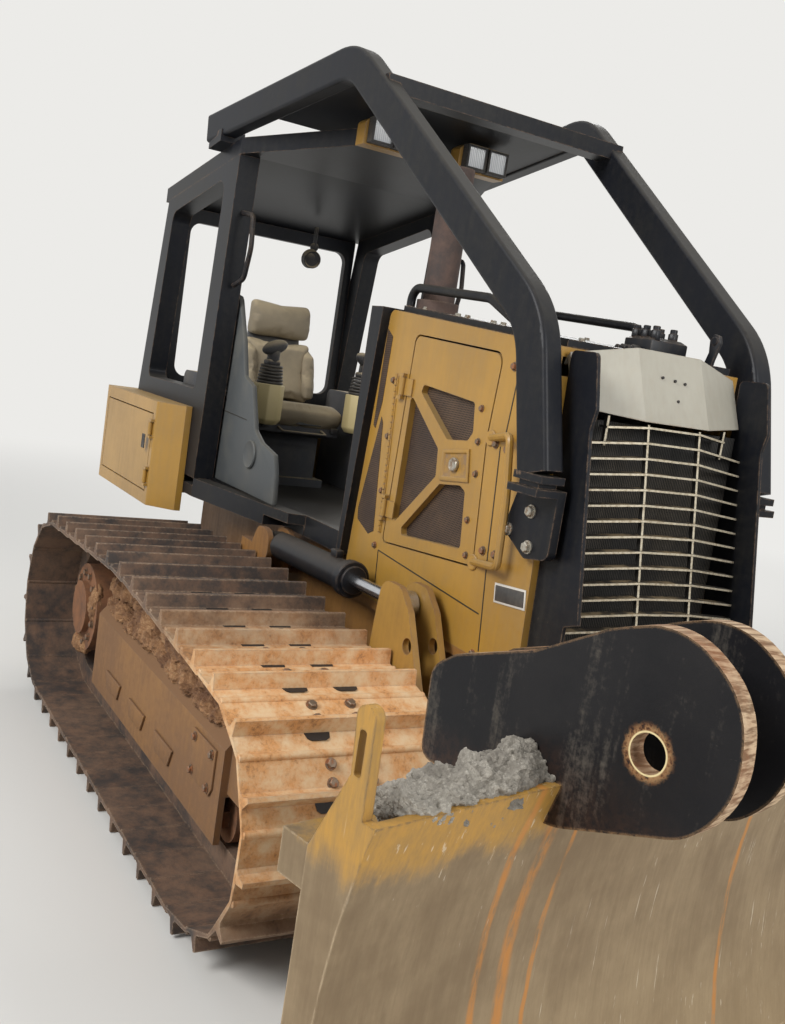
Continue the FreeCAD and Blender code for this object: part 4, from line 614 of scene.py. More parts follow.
# %% Soil, fasteners and plastic
def crumbly(name, colour, shade, light):
    """Dried soil: broad lumps with fine grains on them."""
    finish = Finish(name)
    lumps = finish.noise(9, 6, 0.7)
    grains = finish.noise(120, 4, 0.75)
    body = finish.mix(finish.step(lumps, 0.35, 0.65), shade, colour)
    body = finish.mix(finish.step(grains * 0.6 + lumps * 0.4, 0.5, 0.7), body, light)
    finish.feed(Base_Color=body, Roughness=0.95)
    finish.bump(grains * 0.6 + lumps, 0.005, 0.9)
    return finish.material


def fastener(name, colour, rust, rough):
    """Plated or scaled steel with rust round its edges."""
    finish = Finish(name)
    patches = finish.noise(60, 4, 0.7)
    share = finish.step(patches, 0.45, 0.65)
    finish.feed(Base_Color=finish.mix(share, colour, rust), Roughness=rough + share * 0.3)
    finish.feed(Metallic=0.7 - share * 0.6)
    finish.bump(patches, 0.0006, 0.6)
    return finish.material


def moulded(name, colour, dust, amount):
    """Textured plastic with dust on top and a fine pitted grain."""
    finish = Finish(name)
    pits = finish.noise(420, 2, 0.6)
    clouds = finish.noise(5, 4, 0.6)
    lying = finish.step(finish.facing(), 0.1, 0.9) * 0.6 + finish.step(clouds, 0.45, 0.75) * 0.4
    finish.feed(Base_Color=finish.mix(lying * amount, colour, dust), Roughness=0.55 + lying * 0.3 * amount)
    finish.bump(pits, 0.0005, 0.5)
    return finish.material


mud = crumbly("dried_mud", tone(140, 102, 68), tone(92, 62, 40), tone(172, 140, 104))
soil = crumbly("pale_soil", tone(144, 138, 127), tone(106, 100, 91), tone(176, 170, 158))
zinc = fastener("zinc_bolts", tone(172, 168, 156), tone(112, 86, 60), 0.38)
scaled = fastener("track_bolts", tone(120, 104, 88), tone(140, 88, 52), 0.5)
beige = moulded("beige_plastic", tone(196, 178, 128), tone(206, 190, 150), 0.7)
panel_grey = moulded("console_grey", tone(66, 69, 70), tone(126, 120, 106), 0.5)
rubber = moulded("bellows_rubber", tone(40, 38, 36), tone(118, 108, 94), 0.55)
seam_dark = moulded("seam_shadow", tone(34, 30, 24), tone(70, 60, 46), 0.4)
plate_dark = paint("blank_plate_enamel", tone(38, 40, 44), tone(32, 34, 38), GREY_DUST,
                   dustiness=0.25, wear=0.3, roughness=0.35)
plate_pale = paint("blank_plate_border", tone(214, 212, 204), tone(196, 192, 184), GREY_DUST,
                   dustiness=0.25, wear=0.4, roughness=0.4)
# Painted shade: near-black sheets and rods stand in the mud windows, nose holes and panel vents, with dust on
# top.
hollow_shade = moulded("hollow_painted_shade", tone(22, 18, 16), tone(48, 38, 30), 0.5)
print("small piece finishes made:", 11)

# %% [markdown]
# ## Workshop helpers: finishing a piece
# New pieces start as a primitive and are shaped as by hand: corners cut off, faces pushed in and pulled out,
# edges broken. An operator acts on all that is selected, and a fresh primitive is selected all over, so each
# helper clears the selection first and then takes up what it works on. These first helpers do what every
# piece needs: fix its place into its mesh, name it, dress it and hang it on a body of the machine.


# %% Helpers that finish a piece
def pick_none():
    """Clears the selection, because an operator acts on all that is selected."""
    bpy.ops.object.select_all(action="DESELECT")


def take(piece):
    """Selects one piece alone and makes it the active one."""
    pick_none()
    piece.select_set(True)
    bpy.context.view_layer.objects.active = piece


def settle(piece, name, body, finish, smooth=35):
    """Fixes a piece's place into its mesh, names and dresses it and hangs it on a body."""
    take(piece)
    bpy.ops.object.transform_apply(location=True, rotation=True, scale=True)
    bpy.ops.object.shade_smooth_by_angle(angle=math.radians(smooth))
    piece.name = name
    wear_finish(piece, finish)
    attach(piece, body)
    return piece


def gather(pieces):
    """Joins several objects into the first one."""
    pick_none()
    for piece in pieces:
        piece.select_set(True)
    bpy.context.view_layer.objects.active = pieces[0]
    bpy.ops.object.transform_apply(location=True, rotation=True, scale=True)
    if len(pieces) > 1:
        bpy.ops.object.join()
    return bpy.context.object


def stamp(source, places):
    """Copies of one modelled form, each with its own mesh, joined to one piece."""
    made = []
    for place in places:
        twin = source.copy()
        twin.data = source.data.copy()
        twin.data.transform(place)
        bpy.context.scene.collection.objects.link(twin)
        made.append(twin)
    return gather(made)


def aim(place, outward, size=1.0):
    """The matrix that stands a form up from a place along a direction."""
    turn = Vector(outward).to_track_quat("Z", "Y").to_matrix().to_4x4()
    return Matrix.Translation(place) @ turn @ Matrix.Scale(size, 4)


print("finishing helpers ready")

# %% [markdown]
# ## Workshop helpers: shaping faces and edges
# Edit mode works on the faces that are marked. They could be picked by number, but numbers change with every
# step. A face is picked by where it looks and how large it is instead, so a step still finds it after the
# form has changed.


# %% Helpers that shape faces and edges
UPWARD = Vector((0, 0, 1))
AHEAD = Vector((1, 0, 0))


def shape_faces(piece, wanted, action):
    """Runs one edit on the faces that wanted picks."""
    take(piece)
    bpy.ops.object.mode_set(mode="EDIT")
    bpy.ops.mesh.select_mode(type="FACE")
    bpy.ops.mesh.select_all(action="DESELECT")
    bpy.ops.object.mode_set(mode="OBJECT")
    for face in piece.data.polygons:
        face.select = wanted(face)
    bpy.ops.object.mode_set(mode="EDIT")
    action()
    bpy.ops.object.mode_set(mode="OBJECT")


def press_face(piece, outward, thickness, depth=0.0, least=0.0):
    """Insets the faces that look one way, if larger than the least area, and sinks or lifts them."""
    shape_faces(piece, lambda face: face.normal.dot(outward) > 0.9 and face.area > least,
                lambda: bpy.ops.mesh.inset(thickness=thickness, depth=depth))


def broken_edges(piece, width, segments=2):
    """Rounds a form's sharp edges."""
    bevel = piece.modifiers.new("edges", "BEVEL")
    bevel.width = width
    bevel.segments = segments
    bevel.limit_method = "ANGLE"
    take(piece)
    bpy.ops.object.modifier_apply(modifier=bevel.name)


print("shaping helpers ready")

# %% [markdown]
# ## Workshop helpers: sheets, blocks and bars
# Most fittings of a machine are cut from sheet, sawn from block or bent from round bar. Each of the three
# has a helper that takes the drawing's numbers. A sheet starts as a filled circle whose corners are moved to
# the outline, and is then pulled out to its depth.


# %% Helpers for stock
def side_places(points, side, y):
    """Places on one side of the machine, from their x and z in mm."""
    return [spot(x, side * y, z) for x, z in points]


def cut_sheet(corners, depth, edge=0.002):
    """A sheet cut to its corners, pulled out to its depth, with broken edges."""
    pick_none()
    bpy.ops.mesh.primitive_circle_add(vertices=len(corners), radius=0.1, fill_type="NGON")
    sheet = bpy.context.object
    for vertex, corner in zip(sheet.data.vertices, corners):
        vertex.co = corner
    bpy.ops.object.mode_set(mode="EDIT")
    bpy.ops.mesh.select_all(action="SELECT")
    bpy.ops.mesh.extrude_region_move(TRANSFORM_OT_translate={"value": depth})
    bpy.ops.mesh.select_all(action="SELECT")
    bpy.ops.mesh.normals_make_consistent(inside=False)
    bpy.ops.object.mode_set(mode="OBJECT")
    if edge:
        broken_edges(sheet, edge)
    return sheet


def side_sheet(points, side, y, thick, edge=0.002):
    """A sheet that stands out from one side of the machine, from its outline in mm."""
    return cut_sheet(side_places(points, side, y), Vector((0, side, 0)) * thick, edge)


def block(low, high, edge=0.004):
    """A block between two corners in mm from the middle of the tracks, edges broken."""
    pick_none()
    first, last = spot(*low), spot(*high)
    bpy.ops.mesh.primitive_cube_add(size=1, location=(first + last) / 2)
    piece = bpy.context.object
    piece.scale = [abs(v) for v in last - first]
    bpy.ops.object.transform_apply(location=True, rotation=True, scale=True)
    if edge:
        broken_edges(piece, edge)
    return piece


def bar(start, end, radius, sides=12, edge=0.0015):
    """A round bar from one place to another, its ends chamfered."""
    pick_none()
    run = end - start
    bpy.ops.mesh.primitive_cylinder_add(vertices=sides, radius=radius, depth=run.length)
    piece = bpy.context.object
    piece.data.transform(aim((start + end) / 2, run))
    if edge:
        broken_edges(piece, edge, 1)
    return piece


def bent_bar(places, radius, bend=0.04, sides=3):
    """A round bar bent at each place between its ends."""
    route = [places[0]]
    for before, corner, after in zip(places, places[1:], places[2:]):
        route.append(corner + (before - corner).normalized() * bend)
        route.append(corner)
        route.append(corner + (after - corner).normalized() * bend)
    route.append(places[-1])
    pick_none()
    bpy.ops.curve.primitive_nurbs_path_add()
    piece = bpy.context.object
    line = piece.data.splines[0]
    line.points.add(len(route) - len(line.points))
    for point, place in zip(line.points, route):
        point.co = (*place, 1)
    line.order_u = 3
    line.use_endpoint_u = True
    line.resolution_u = 4
    piece.data.bevel_depth = radius
    piece.data.bevel_resolution = sides
    piece.data.use_fill_caps = True
    bpy.ops.object.convert(target="MESH")
    return bpy.context.object


print("stock helpers ready")

# %% [markdown]
# ## Bolts
# A machine like this is held by hundreds of bolts. One bolt is modelled well and stamped everywhere: a round
# washer, a six-sided head set on it, and the head's top edge broken. All bolts of one place are one piece.

# %% One bolt
pick_none()
bpy.ops.mesh.primitive_cylinder_add(vertices=14, radius=0.0085, depth=0.0018, location=(0, 0, 0.0006))
washer = bpy.context.object
pick_none()
bpy.ops.mesh.primitive_cylinder_add(vertices=6, radius=0.0066, depth=0.0055, location=(0, 0, 0.0040))
head = bpy.context.object
shape_faces(head, lambda face: face.normal.z > 0.9, lambda: bpy.ops.mesh.bevel(offset=0.0009, segments=1))
bolt = gather([washer, head])
bolt.name = "bolt_pattern"


def bolts(name, body, finish, places, outward, size=1.0):
    """A set of bolts on places given in metres, all facing one way."""
    heads = stamp(bolt, [aim(place, outward, size) for place in places])
    return settle(heads, name, body, finish, 25)


print("bolt head has", len(bolt.data.polygons), "faces")

# %% [markdown]
# ## Track shoes
# A track is a chain whose links are joined by pins, and each link carries a shoe. What is bolted or punched
# into the shoes is modelled flat, once, and laid round the loop. A curve could carry such copies, but a chain
# is made of straight links. So the loop is given as the places of its link pins, and each pair of neighbours
# sets the place and turn of one shoe.

# %% The loop of link pins
TRACK_Y = 875
PINS = [
    (829, 102), (662, 102), (495, 102), (328, 102), (161, 102), (-7, 102), (-174, 102), (-341, 102),
    (-508, 102), (-675, 102), (-842, 102), (-1010, 102), (-1177, 103), (-1334, 155), (-1446, 276),
    (-1486, 436), (-1443, 596), (-1328, 715), (-1170, 764), (-1003, 770), (-836, 777), (-669, 784),
    (-502, 791), (-335, 797), (-168, 804), (-1, 800), (166, 787), (333, 775), (499, 762), (666, 750),
    (833, 737), (999, 723), (1147, 649), (1233, 509), (1232, 344), (1143, 205), (994, 134),
]
shoes = []
for side, hand in SIDES:
    for here, there in zip(PINS, PINS[1:] + PINS[:1]):
        first = spot(here[0], side * TRACK_Y, here[1])
        along = (spot(there[0], side * TRACK_Y, there[1]) - first).normalized()
        outward = Vector((-along.z, 0, along.x))
        frame_of = Matrix((along, outward.cross(along), outward)).transposed().to_4x4()
        shoes.append((side, Matrix.Translation(first) @ frame_of))
print("shoes to dress:", len(shoes))

# %% [markdown]
# ## What a shoe carries
# Each shoe has four bolts in two pairs, two mud windows beyond its grouser bar, and a rolled front lip. The
# windows could be cut through the shoes, but a thin sheet over each place, painted near black as painted
# shade, shows the same.

# %% Shoe bolts, windows and lips
pairs = []
for ahead in (0.032, 0.084):
    for across in (-0.062, 0.062):
        pairs.append(aim((ahead, across, 0.0568), (0, 0, 1), 2.05))
shoe_bolts = stamp(bolt, pairs)
pick_none()
bpy.ops.mesh.primitive_cylinder_add(vertices=12, radius=0.012, depth=0.656)
lip = bpy.context.object
shape_faces(lip, lambda face: abs(face.normal.z) > 0.9, lambda: bpy.ops.mesh.bevel(offset=0.003, segments=1))
lip.data.transform(aim((0.003, 0, 0.0525), (0, 1, 0)))
hollows = []
for across in (-82, 82):
    outline = [(0.124, -42), (0.124, 42), (0.152, 34), (0.160, 22), (0.160, -22), (0.152, -34)]
    outline = [Vector((x, (across + y) / 1000, 0.0560)) for x, y in outline]
    hollows.append(cut_sheet(outline, (0, 0, 0.0018), 0))
shoe_hollows = gather(hollows)
for side, hand in SIDES:
    spread = [place for which, place in shoes if which == side]
    settle(stamp(shoe_bolts, spread), f"shoe_bolts_{hand}", "machine", scaled, 25)
    settle(stamp(lip, spread), f"shoe_lips_{hand}", "machine", track_steel, 40)
    # The shoe windows are thin sheets painted near black as painted shade.
    settle(stamp(shoe_hollows, spread), f"shoe_windows_{hand}", "machine", hollow_shade, 25)
for pattern in (shoe_bolts, lip, shoe_hollows):
    bpy.data.objects.remove(pattern)
print("shoe details laid on both tracks")

# %% [markdown]
# ## Mud
# Dried mud lies along the sloped top of the track frame and has packed round the hub. It could be a bump in
# the steel's finish, but then its outline would stay straight. It is modelled as lumpy heaps, half sunk in
# the steel, because that is how it sits: thick in the corner, thin at its edge. A heap is a fine ball,
# flattened and pushed about by two sizes of clouds.


# %% A heap
def heap(place, size, rough, clump=0.11, grain=0.022, fine=0.3, level=6):
    """A lumpy heap of soil, its size given in mm, with clumps and finer grains in metres."""
    pick_none()
    bpy.ops.mesh.primitive_ico_sphere_add(subdivisions=level, radius=1, location=place)
    piece = bpy.context.object
    piece.scale = [v / 1000 for v in size]
    bpy.ops.object.transform_apply(location=True, rotation=True, scale=True)
    for number, (span, push) in enumerate(((clump, rough), (grain, rough * fine))):
        clouds = bpy.data.textures.new(f"clumps_{number}", "CLOUDS")
        clouds.noise_scale = span
        clouds.noise_depth = 4
        press = piece.modifiers.new(f"press_{number}", "DISPLACE")
        press.texture = clouds
        press.texture_coords = "LOCAL"
        press.strength = push
        press.mid_level = 0.5
        bpy.ops.object.modifier_apply(modifier=press.name)
    return piece


print("heaps can be made")

# %% Mud on the track frames and round the hubs
FRAME_MUD = (
    (-720, 930, 620, 210, 84, 62), (-520, 905, 634, 200, 80, 58), (-330, 935, 616, 220, 84, 66),
    (-130, 915, 626, 190, 80, 56), (60, 940, 612, 210, 82, 60), (260, 915, 626, 190, 80, 64),
    (440, 940, 610, 190, 80, 60), (600, 930, 612, 130, 76, 56), (-640, 985, 560, 150, 44, 44),
    (-420, 990, 548, 150, 40, 42), (-200, 985, 558, 130, 44, 46), (30, 990, 546, 160, 40, 40),
    (240, 985, 556, 140, 44, 46), (470, 990, 546, 150, 42, 42),
)
HUB_MUD = ((-1030, 470, 60, 110), (-1290, 395, 50, 120), (-1180, 255, 110, 45))
for side, hand in SIDES:
    heaps = []
    for x, y, z, *size in FRAME_MUD:
        heaps.append(heap(spot(x, side * y, z), size, 0.055, 0.07, 0.018, 0.4, 5))
    settle(gather(heaps), f"frame_mud_{hand}", "machine", mud, 30)
    packed = []
    for x, z, long, high in HUB_MUD:
        packed.append(heap(spot(x, side * 1000, z), (long, 35, high), 0.04, 0.07, 0.02, 0.35, 5))
    settle(gather(packed), f"hub_mud_{hand}", "machine", mud, 30)
print("heaps of mud on each side:", len(FRAME_MUD) + len(HUB_MUD))

# %% [markdown]
# ## Hubs
# The final drive's hub is closed by a ring of twelve bolts round a dished cover. The cover starts as a disc:
# its face is inset and sunk, and then inset and lifted again, which gives the rim, the dish and the boss.

# %% Hub covers and bolts
HUB_X, HUB_Z = -1155, 433
HUB_BOLTS, HUB_RING = 12, 158
for side, hand in SIDES:
    outward = Vector((0, side, 0))
    ring = []
    for step in range(HUB_BOLTS):
        angle = math.radians(360 / HUB_BOLTS * (step + 0.5))
        ring.append(spot(HUB_X + HUB_RING * math.cos(angle), side * 1015, HUB_Z + HUB_RING * math.sin(angle)))
    bolts(f"hub_bolts_{hand}", "machine", scaled, ring, outward, 2.2)
    pick_none()
    bpy.ops.mesh.primitive_cylinder_add(vertices=40, radius=0.105, depth=0.03)
    cover = bpy.context.object
    cover.data.transform(aim(spot(HUB_X, side * 1025, HUB_Z), outward))
    press_face(cover, outward, 0.03, -0.008)
    press_face(cover, outward, 0.02, 0.012, 0.004)
    broken_edges(cover, 0.003)
    settle(cover, f"hub_cover_{hand}", "machine", wheel_steel)
print("hubs finished")

# %% [markdown]
# ## Soil on the blade
# The blade's box-shaped top edge holds a pile of pale soil between the end tab and the ears. The piles are
# heaps again, drawn as if the blade stood square to the machine, and then swung to where it is parked.

# %% Soil on the blade's shelf
SHELF_SOIL = (
    (1972, -1470, 1052, 58, 66, 40), (1966, -1390, 1050, 62, 110, 46), (1966, -1290, 1052, 62, 100, 58),
    (1962, -1215, 1058, 52, 70, 62), (1974, -1150, 1052, 46, 60, 40),
)
piles = []
for x, across, z, *size in SHELF_SOIL:
    pile = heap(spot(x, across, z), size, 0.055, 0.05, 0.011, 0.35, 6)
    pile.data.transform(blade_turn())
    piles.append(pile)
settle(gather(piles), "shelf_soil", "blade", soil, 30)
print("soil heaps on the blade:", len(piles))

# %% [markdown]
# ## Hood shell
# Bolts hold the hood's shell, thin seams part its plates, two punched vents lie behind the door, and the door
# hangs on a piano hinge: a long leaf with knuckles in a row. A seam could be a groove in the mesh, but the
# shell is a finished solid. A strip of shadow, a little over a millimetre thick, reads as the same gap.

# %% Hood shell details
HOOD_FACE = 375
SHELL_BOLTS = ((255, 1686), (274, 1483), (289, 1284), (298, 1083), (122, 1847), (91, 1555), (1002, 894))
SEAMS = (((1008, 1857), (985, 1572)), ((969, 1542), (998, 1187)), ((998, 1187), (1030, 909)),
         ((328, 1070), (1000, 1020)), ((328, 1070), (345, 905)))
HINGE_LEAF = ((306, 1135), (328, 1135), (288, 1712), (264, 1712))
HINGE_LOW, HINGE_HIGH, KNUCKLES = Vector((317, 0, 1135)), Vector((276, 0, 1712)), 26
VENTS = (((207, 1547), (223, 1526), (272, 1130), (235, 1112), (140, 1150), (132, 1190)),
         ((159, 1868), (202, 1841), (196, 1600), (172, 1500), (155, 1510)))
for side, hand in SIDES:
    outward = Vector((0, side, 0))
    shell_places = side_places(SHELL_BOLTS, side, HOOD_FACE + 0.3)
    bolts(f"shell_bolts_{hand}", "machine", scaled, shell_places, outward, 1.5)
    strips = []
    for seam in SEAMS:
        a, b = side_places(seam, side, HOOD_FACE)
        across = (b - a).cross(outward).normalized() * 0.0022
        strips.append(cut_sheet([a - across, b - across, b + across, a + across], outward * 0.0012, 0))
    settle(gather(strips), f"shell_seams_{hand}", "machine", seam_dark)
    strips = []
    for i in range(KNUCKLES):
        ends = [HINGE_LOW.lerp(HINGE_HIGH, (i + share) / KNUCKLES) for share in (0.06, 0.94)]
        low, high = side_places([(end.x, end.z) for end in ends], side, HOOD_FACE + 3)
        strips.append(bar(low, high, 0.0065, 10, 0.0012))
    strips.append(side_sheet(HINGE_LEAF, side, HOOD_FACE, 0.003, 0.001))
    settle(gather(strips), f"door_hinge_{hand}", "machine", yellow)
    vents = [side_sheet(outline, side, HOOD_FACE, 0.0015, 0) for outline in VENTS]
    settle(gather(vents), f"shell_vents_{hand}", "machine", mesh)
print("shell details on both sides")

# %% [markdown]
# ## Engine doors
# Each engine door closes with a round knob in a dished latch, and its mesh is bolted round the edge. A bent
# grab rail stands on two feet in front of it. The dish is a sheet whose face is inset twice, the second time
# with depth, and the rail is a bar bent along a few corners. The badge's place stays bare: one blank plate
# with a pale border has the shape of the real one.

# %% Engine door details
DOOR_BOLTS = ((838, 1646), (847, 1541), (862, 1440), (858, 1290), (880, 1180))
SIDE_BOLTS = ((975, 1789), (945, 1547), (1009, 1538), (968, 1215), (1033, 1217))
LATCH_DISH = ((656, 1490), (810, 1512), (832, 1406), (664, 1386))
for side, hand in SIDES:
    outward = Vector((0, side, 0))
    door = f"engine_door_{hand}"
    door_places = side_places(DOOR_BOLTS, side, HOOD_FACE + 0.2)
    bolts(f"door_bolts_{hand}", door, scaled, door_places, outward, 1.4)
    fixed_places = side_places(SIDE_BOLTS, side, HOOD_FACE + 0.3)
    bolts(f"side_bolts_{hand}", "machine", scaled, fixed_places, outward, 1.7)
    dish = side_sheet(LATCH_DISH, side, HOOD_FACE, 0.006, 0)
    press_face(dish, outward, 0.012)
    press_face(dish, outward, 0.004, -0.0055, 0.004)
    broken_edges(dish, 0.0015)
    settle(dish, f"latch_dish_{hand}", door, yellow)
    knob = bar(spot(738, side * 374, 1450), spot(738, side * 389, 1450), 0.023, 24, 0.003)
    press_face(knob, outward, 0.008, -0.004)
    settle(knob, f"latch_knob_{hand}", door, zinc)
print("door fittings made")

# %% Grab rail and blank plate
GRAB_RAIL = ((911, 372, 1562), (1075, 424, 1585), (1108, 424, 1400), (1118, 424, 1195), (922, 372, 1168))
PLATE_RIM = ((1059, 1137), (1213, 1152), (1222, 1092), (1067, 1077))
PLATE_FACE = ((1066, 1131), (1208, 1145), (1215, 1098), (1073, 1084))
for side, hand in SIDES:
    feet = [bent_bar([spot(x, side * y, z) for x, y, z in GRAB_RAIL], 0.0125, 0.045, 3)]
    for x, z in ((915, 1562), (926, 1168)):
        feet.append(bar(spot(x, side * 372, z), spot(x, side * 382, z), 0.026, 20, 0.003))
    settle(gather(feet), f"grab_rail_{hand}", "machine", yellow)
    border = side_sheet(PLATE_RIM, side, HOOD_FACE, 0.003, 0.001)
    settle(border, f"plate_border_{hand}", "machine", plate_pale)
    plate = side_sheet(PLATE_FACE, side, HOOD_FACE + 2, 0.0022, 0.001)
    settle(plate, f"blank_plate_{hand}", "machine", plate_dark)
print("rails and blank plates set")

# %% [markdown]
# ## On top of the hood
# Behind the nose sits a small block of valves with its hose fittings, and beside it a lifting hook. The nose
# itself has four small holes, and bolts hold the hood's top plate. Each fitting is a six-sided nut with a
# round end on it, so two short bars make one, and the hook is cut from sheet as the real one is.

# %% Valve block and hook
VALVES = ((930, 120), (975, 120), (1020, 120), (940, 215), (1000, 215))
VALVE_TOP = 1945
HOOK = ((1085, 1868), (1125, 1866), (1132, 1905), (1150, 1962), (1142, 1985), (1118, 1990), (1104, 1968),
        (1108, 1930))
core_block = block((905, 95, 1880), (1035, 255, VALVE_TOP), 0.006)
press_face(core_block, UPWARD, 0.012, 0.008, 0.01)
parts = [core_block]
for x, y in VALVES:
    parts.append(bar(spot(x, y, VALVE_TOP - 4), spot(x, y, VALVE_TOP + 30), 0.017, 6, 0.002))
    parts.append(bar(spot(x, y, VALVE_TOP + 26), spot(x, y, VALVE_TOP + 44), 0.012, 16, 0.002))
for x, z in ((935, 1905), (985, 1905)):
    parts.append(bar(spot(x, 90, z), spot(x, 60, z), 0.016, 6, 0.002))
    parts.append(bar(spot(x, 64, z), spot(x, 40, z), 0.011, 16, 0.002))
settle(gather(parts), "valve_block", "machine", cylinder_black)
hook = cut_sheet([spot(x, 275, z) for x, z in HOOK], (0, 0.012, 0), 0.002)
eye = bar(spot(1126, 272, 1968), spot(1126, 290, 1968), 0.014, 20, 0.002)
settle(gather([hook, eye]), "lifting_hook", "machine", cylinder_black)
print("valve fittings:", len(parts) - 1)

# %% Bolts and holes
HOOD_BOLTS = ((260, -290), (260, -250), (260, 290), (480, -290), (480, -250), (480, 290), (700, -290),
              (700, -250), (700, 290), (930, -290), (930, 290), (1100, -240), (1100, 240))
HOOD_SLOPE = (1961 - 1888) / 975
hood_places = [spot(x, y, 1960.5 - (x - 180) * HOOD_SLOPE) for x, y in HOOD_BOLTS]
bolts("hood_top_bolts", "machine", zinc, hood_places, (math.sin(0.075), 0, 1), 1.5)
NOSE_TOP, NOSE_FOOT = Vector((1232, 0, 1896)), Vector((1312, 0, 1687))
holes = []
for y, share in ((-45, 0.36), (5, 0.38), (45, 0.40), (10, 0.66)):
    x, z = NOSE_TOP.x + (NOSE_FOOT.x - NOSE_TOP.x) * share, NOSE_TOP.z - (NOSE_TOP.z - NOSE_FOOT.z) * share
    holes.append(bar(spot(x - 3, y, z), spot(x + 1.5, y, z + 0.6), 0.0045, 12, 0))
# The nose holes are short near-black rods, painted shade.
settle(gather(holes), "nose_holes", "machine", hollow_shade)
print("hood top finished, with bolts:", len(HOOD_BOLTS))

# %% [markdown]
# ## Work lamps
# Each lamp sits in a dark square rim. A rim could be four bars, but their corners would show joints. A block
# with its front inset and the inner face taken away gives one ring with a clean inner edge.

# %% Lamp rims
for side, hand in SIDES:
    rims = []
    for y in (174, 281):
        rim = block((-334, side * y - 50, 2597), (-288, side * y + 50, 2697), 0)
        press_face(rim, AHEAD, 0.010)
        shape_faces(rim, lambda face: face.normal.x > 0.9 and face.area > 0.005,
                    lambda: bpy.ops.mesh.delete(type="FACE"))
        broken_edges(rim, 0.0018, 1)
        rims.append(rim)
    settle(gather(rims), f"lamp_rims_{hand}", "machine", grip_plastic)
print("lamp rims set")

# %% [markdown]
# ## Seat
# The real seat is a suspension seat in grained vinyl: a wide base cushion, a tall back with bolsters at its
# sides, and a separate head pad. A block with soft corners would look like foam, not like a stuffed cover. So
# each pad starts as a rounded block, is remeshed fine and blown up a little as cloth, which pulls its sides
# in between the corners as stuffing does. How far a point may move is capped, so the pads keep their size.


# %% How a pad is stuffed
VOXEL = 0.006
CLOTH_FRAMES = 20


def stuffed(piece, name, replaced, cap, pressure=4.0):
    """Blows a closed form up as cloth, keeps it near its start, and smooths it once."""
    take(piece)
    remesh = piece.modifiers.new("even", "REMESH")
    remesh.mode = "VOXEL"
    remesh.voxel_size = VOXEL
    bpy.ops.object.modifier_apply(modifier=remesh.name)
    start = [vertex.co.copy() for vertex in piece.data.vertices]
    cloth = piece.modifiers.new("stuffing", "CLOTH")
    cloth.settings.use_pressure = True
    cloth.settings.uniform_pressure_force = pressure
    cloth.settings.effector_weights.gravity = 0
    cloth.settings.tension_stiffness = 20
    cloth.settings.compression_stiffness = 20
    for number in range(1, CLOTH_FRAMES + 1):
        bpy.context.scene.frame_set(number)
    bpy.ops.object.modifier_apply(modifier=cloth.name)
    bpy.context.scene.frame_set(1)
    for vertex, before in zip(piece.data.vertices, start):
        push = vertex.co - before
        if push.length > cap:
            vertex.co = before + push.normalized() * cap
    soften = piece.modifiers.new("soften", "SMOOTH")
    soften.factor = 0.5
    soften.iterations = 4
    bpy.ops.object.modifier_apply(modifier=soften.name)
    finer = piece.modifiers.new("finer", "SUBSURF")
    finer.levels = 1
    finer.render_levels = 1
    bpy.ops.object.modifier_apply(modifier=finer.name)
    settle(piece, name, "machine", vinyl, 60)
    if replaced:
        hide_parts(replaced)


print("pads are stuffed in", CLOTH_FRAMES, "frames")

# %% The seat's pads
CUSHION = ((-1680, 1374), (-1270, 1374), (-1238, 1400), (-1232, 1452), (-1290, 1466), (-1680, 1448))
BACK = ((-1700, 1462), (-1620, 1466), (-1655, 1600), (-1692, 1780), (-1770, 1780), (-1782, 1620))
HEAD = ((-1780, 1796), (-1690, 1796), (-1676, 1860), (-1690, 1950), (-1722, 1982), (-1776, 1976))
WING = ((-1690, 1480), (-1585, 1490), (-1586, 1550), (-1640, 1720), (-1720, 1752), (-1736, 1620))
SHELL = ((-1742, 1440), (-1690, 1440), (-1772, 1800), (-1764, 1930), (-1790, 1930), (-1798, 1800),
         (-1790, 1600))


def pad(outline, low, high, edge):
    """A rounded block from a side outline, in mm, between two places across."""
    corners = [spot(x, low, z) for x, z in outline]
    return cut_sheet(corners, (0, (high - low) / 1000, 0), edge)


stuffed(pad(CUSHION, -222, 222, 0.018), "seat_pad", "seat_cushion", 0.016)
stuffed(pad(BACK, -190, 190, 0.018), "seat_back_pad", "seat_back", 0.016)
stuffed(pad(HEAD, -168, 168, 0.02), "seat_head_pad", None, 0.014)
for side, hand in SIDES:
    stuffed(pad(WING, side * 168 - 26, side * 168 + 26, 0.012), f"seat_wing_{hand}", None, 0.010)
settle(pad(SHELL, -150, 150, 0.006), "seat_shell", "machine", cab_plastic)
print("seat padded")

# %% [markdown]
# ## Seat suspension
# Under the seat stands a rubber bellows round its springs. A bellows could be one block with grooves cut in,
# but stacked folds with rounded edges meet in a real crease. Slides, a bent front bar and a row of dials
# finish the seat's foot.

# %% Bellows, slides and dials
FOLDS, FOLD_LOW, FOLD_STEP = 7, 1118, 27
parts = []
for level in range(FOLDS):
    low = FOLD_LOW + level * FOLD_STEP
    fold = block((-1630, -150, low), (-1400, 150, low + 24), 0.008)
    shape_faces(fold, lambda face: abs(face.normal.z) < 0.2,
                lambda: bpy.ops.mesh.bevel(offset=0.004, segments=1))
    parts.append(fold)
settle(gather(parts), "seat_bellows_folds", "machine", rubber)
parts = [block((-1725, -212, 1342), (-1275, -172, 1372)), block((-1725, 172, 1342), (-1275, 212, 1372))]
front_bar = ((-1285, -120, 1350), (-1222, -120, 1336), (-1222, 120, 1336), (-1285, 120, 1350))
parts.append(bent_bar([spot(*place) for place in front_bar], 0.007, 0.02))
for x in (-1640, -1360):
    parts.append(bar(spot(x, -205, 1320), spot(x, 205, 1320), 0.012))
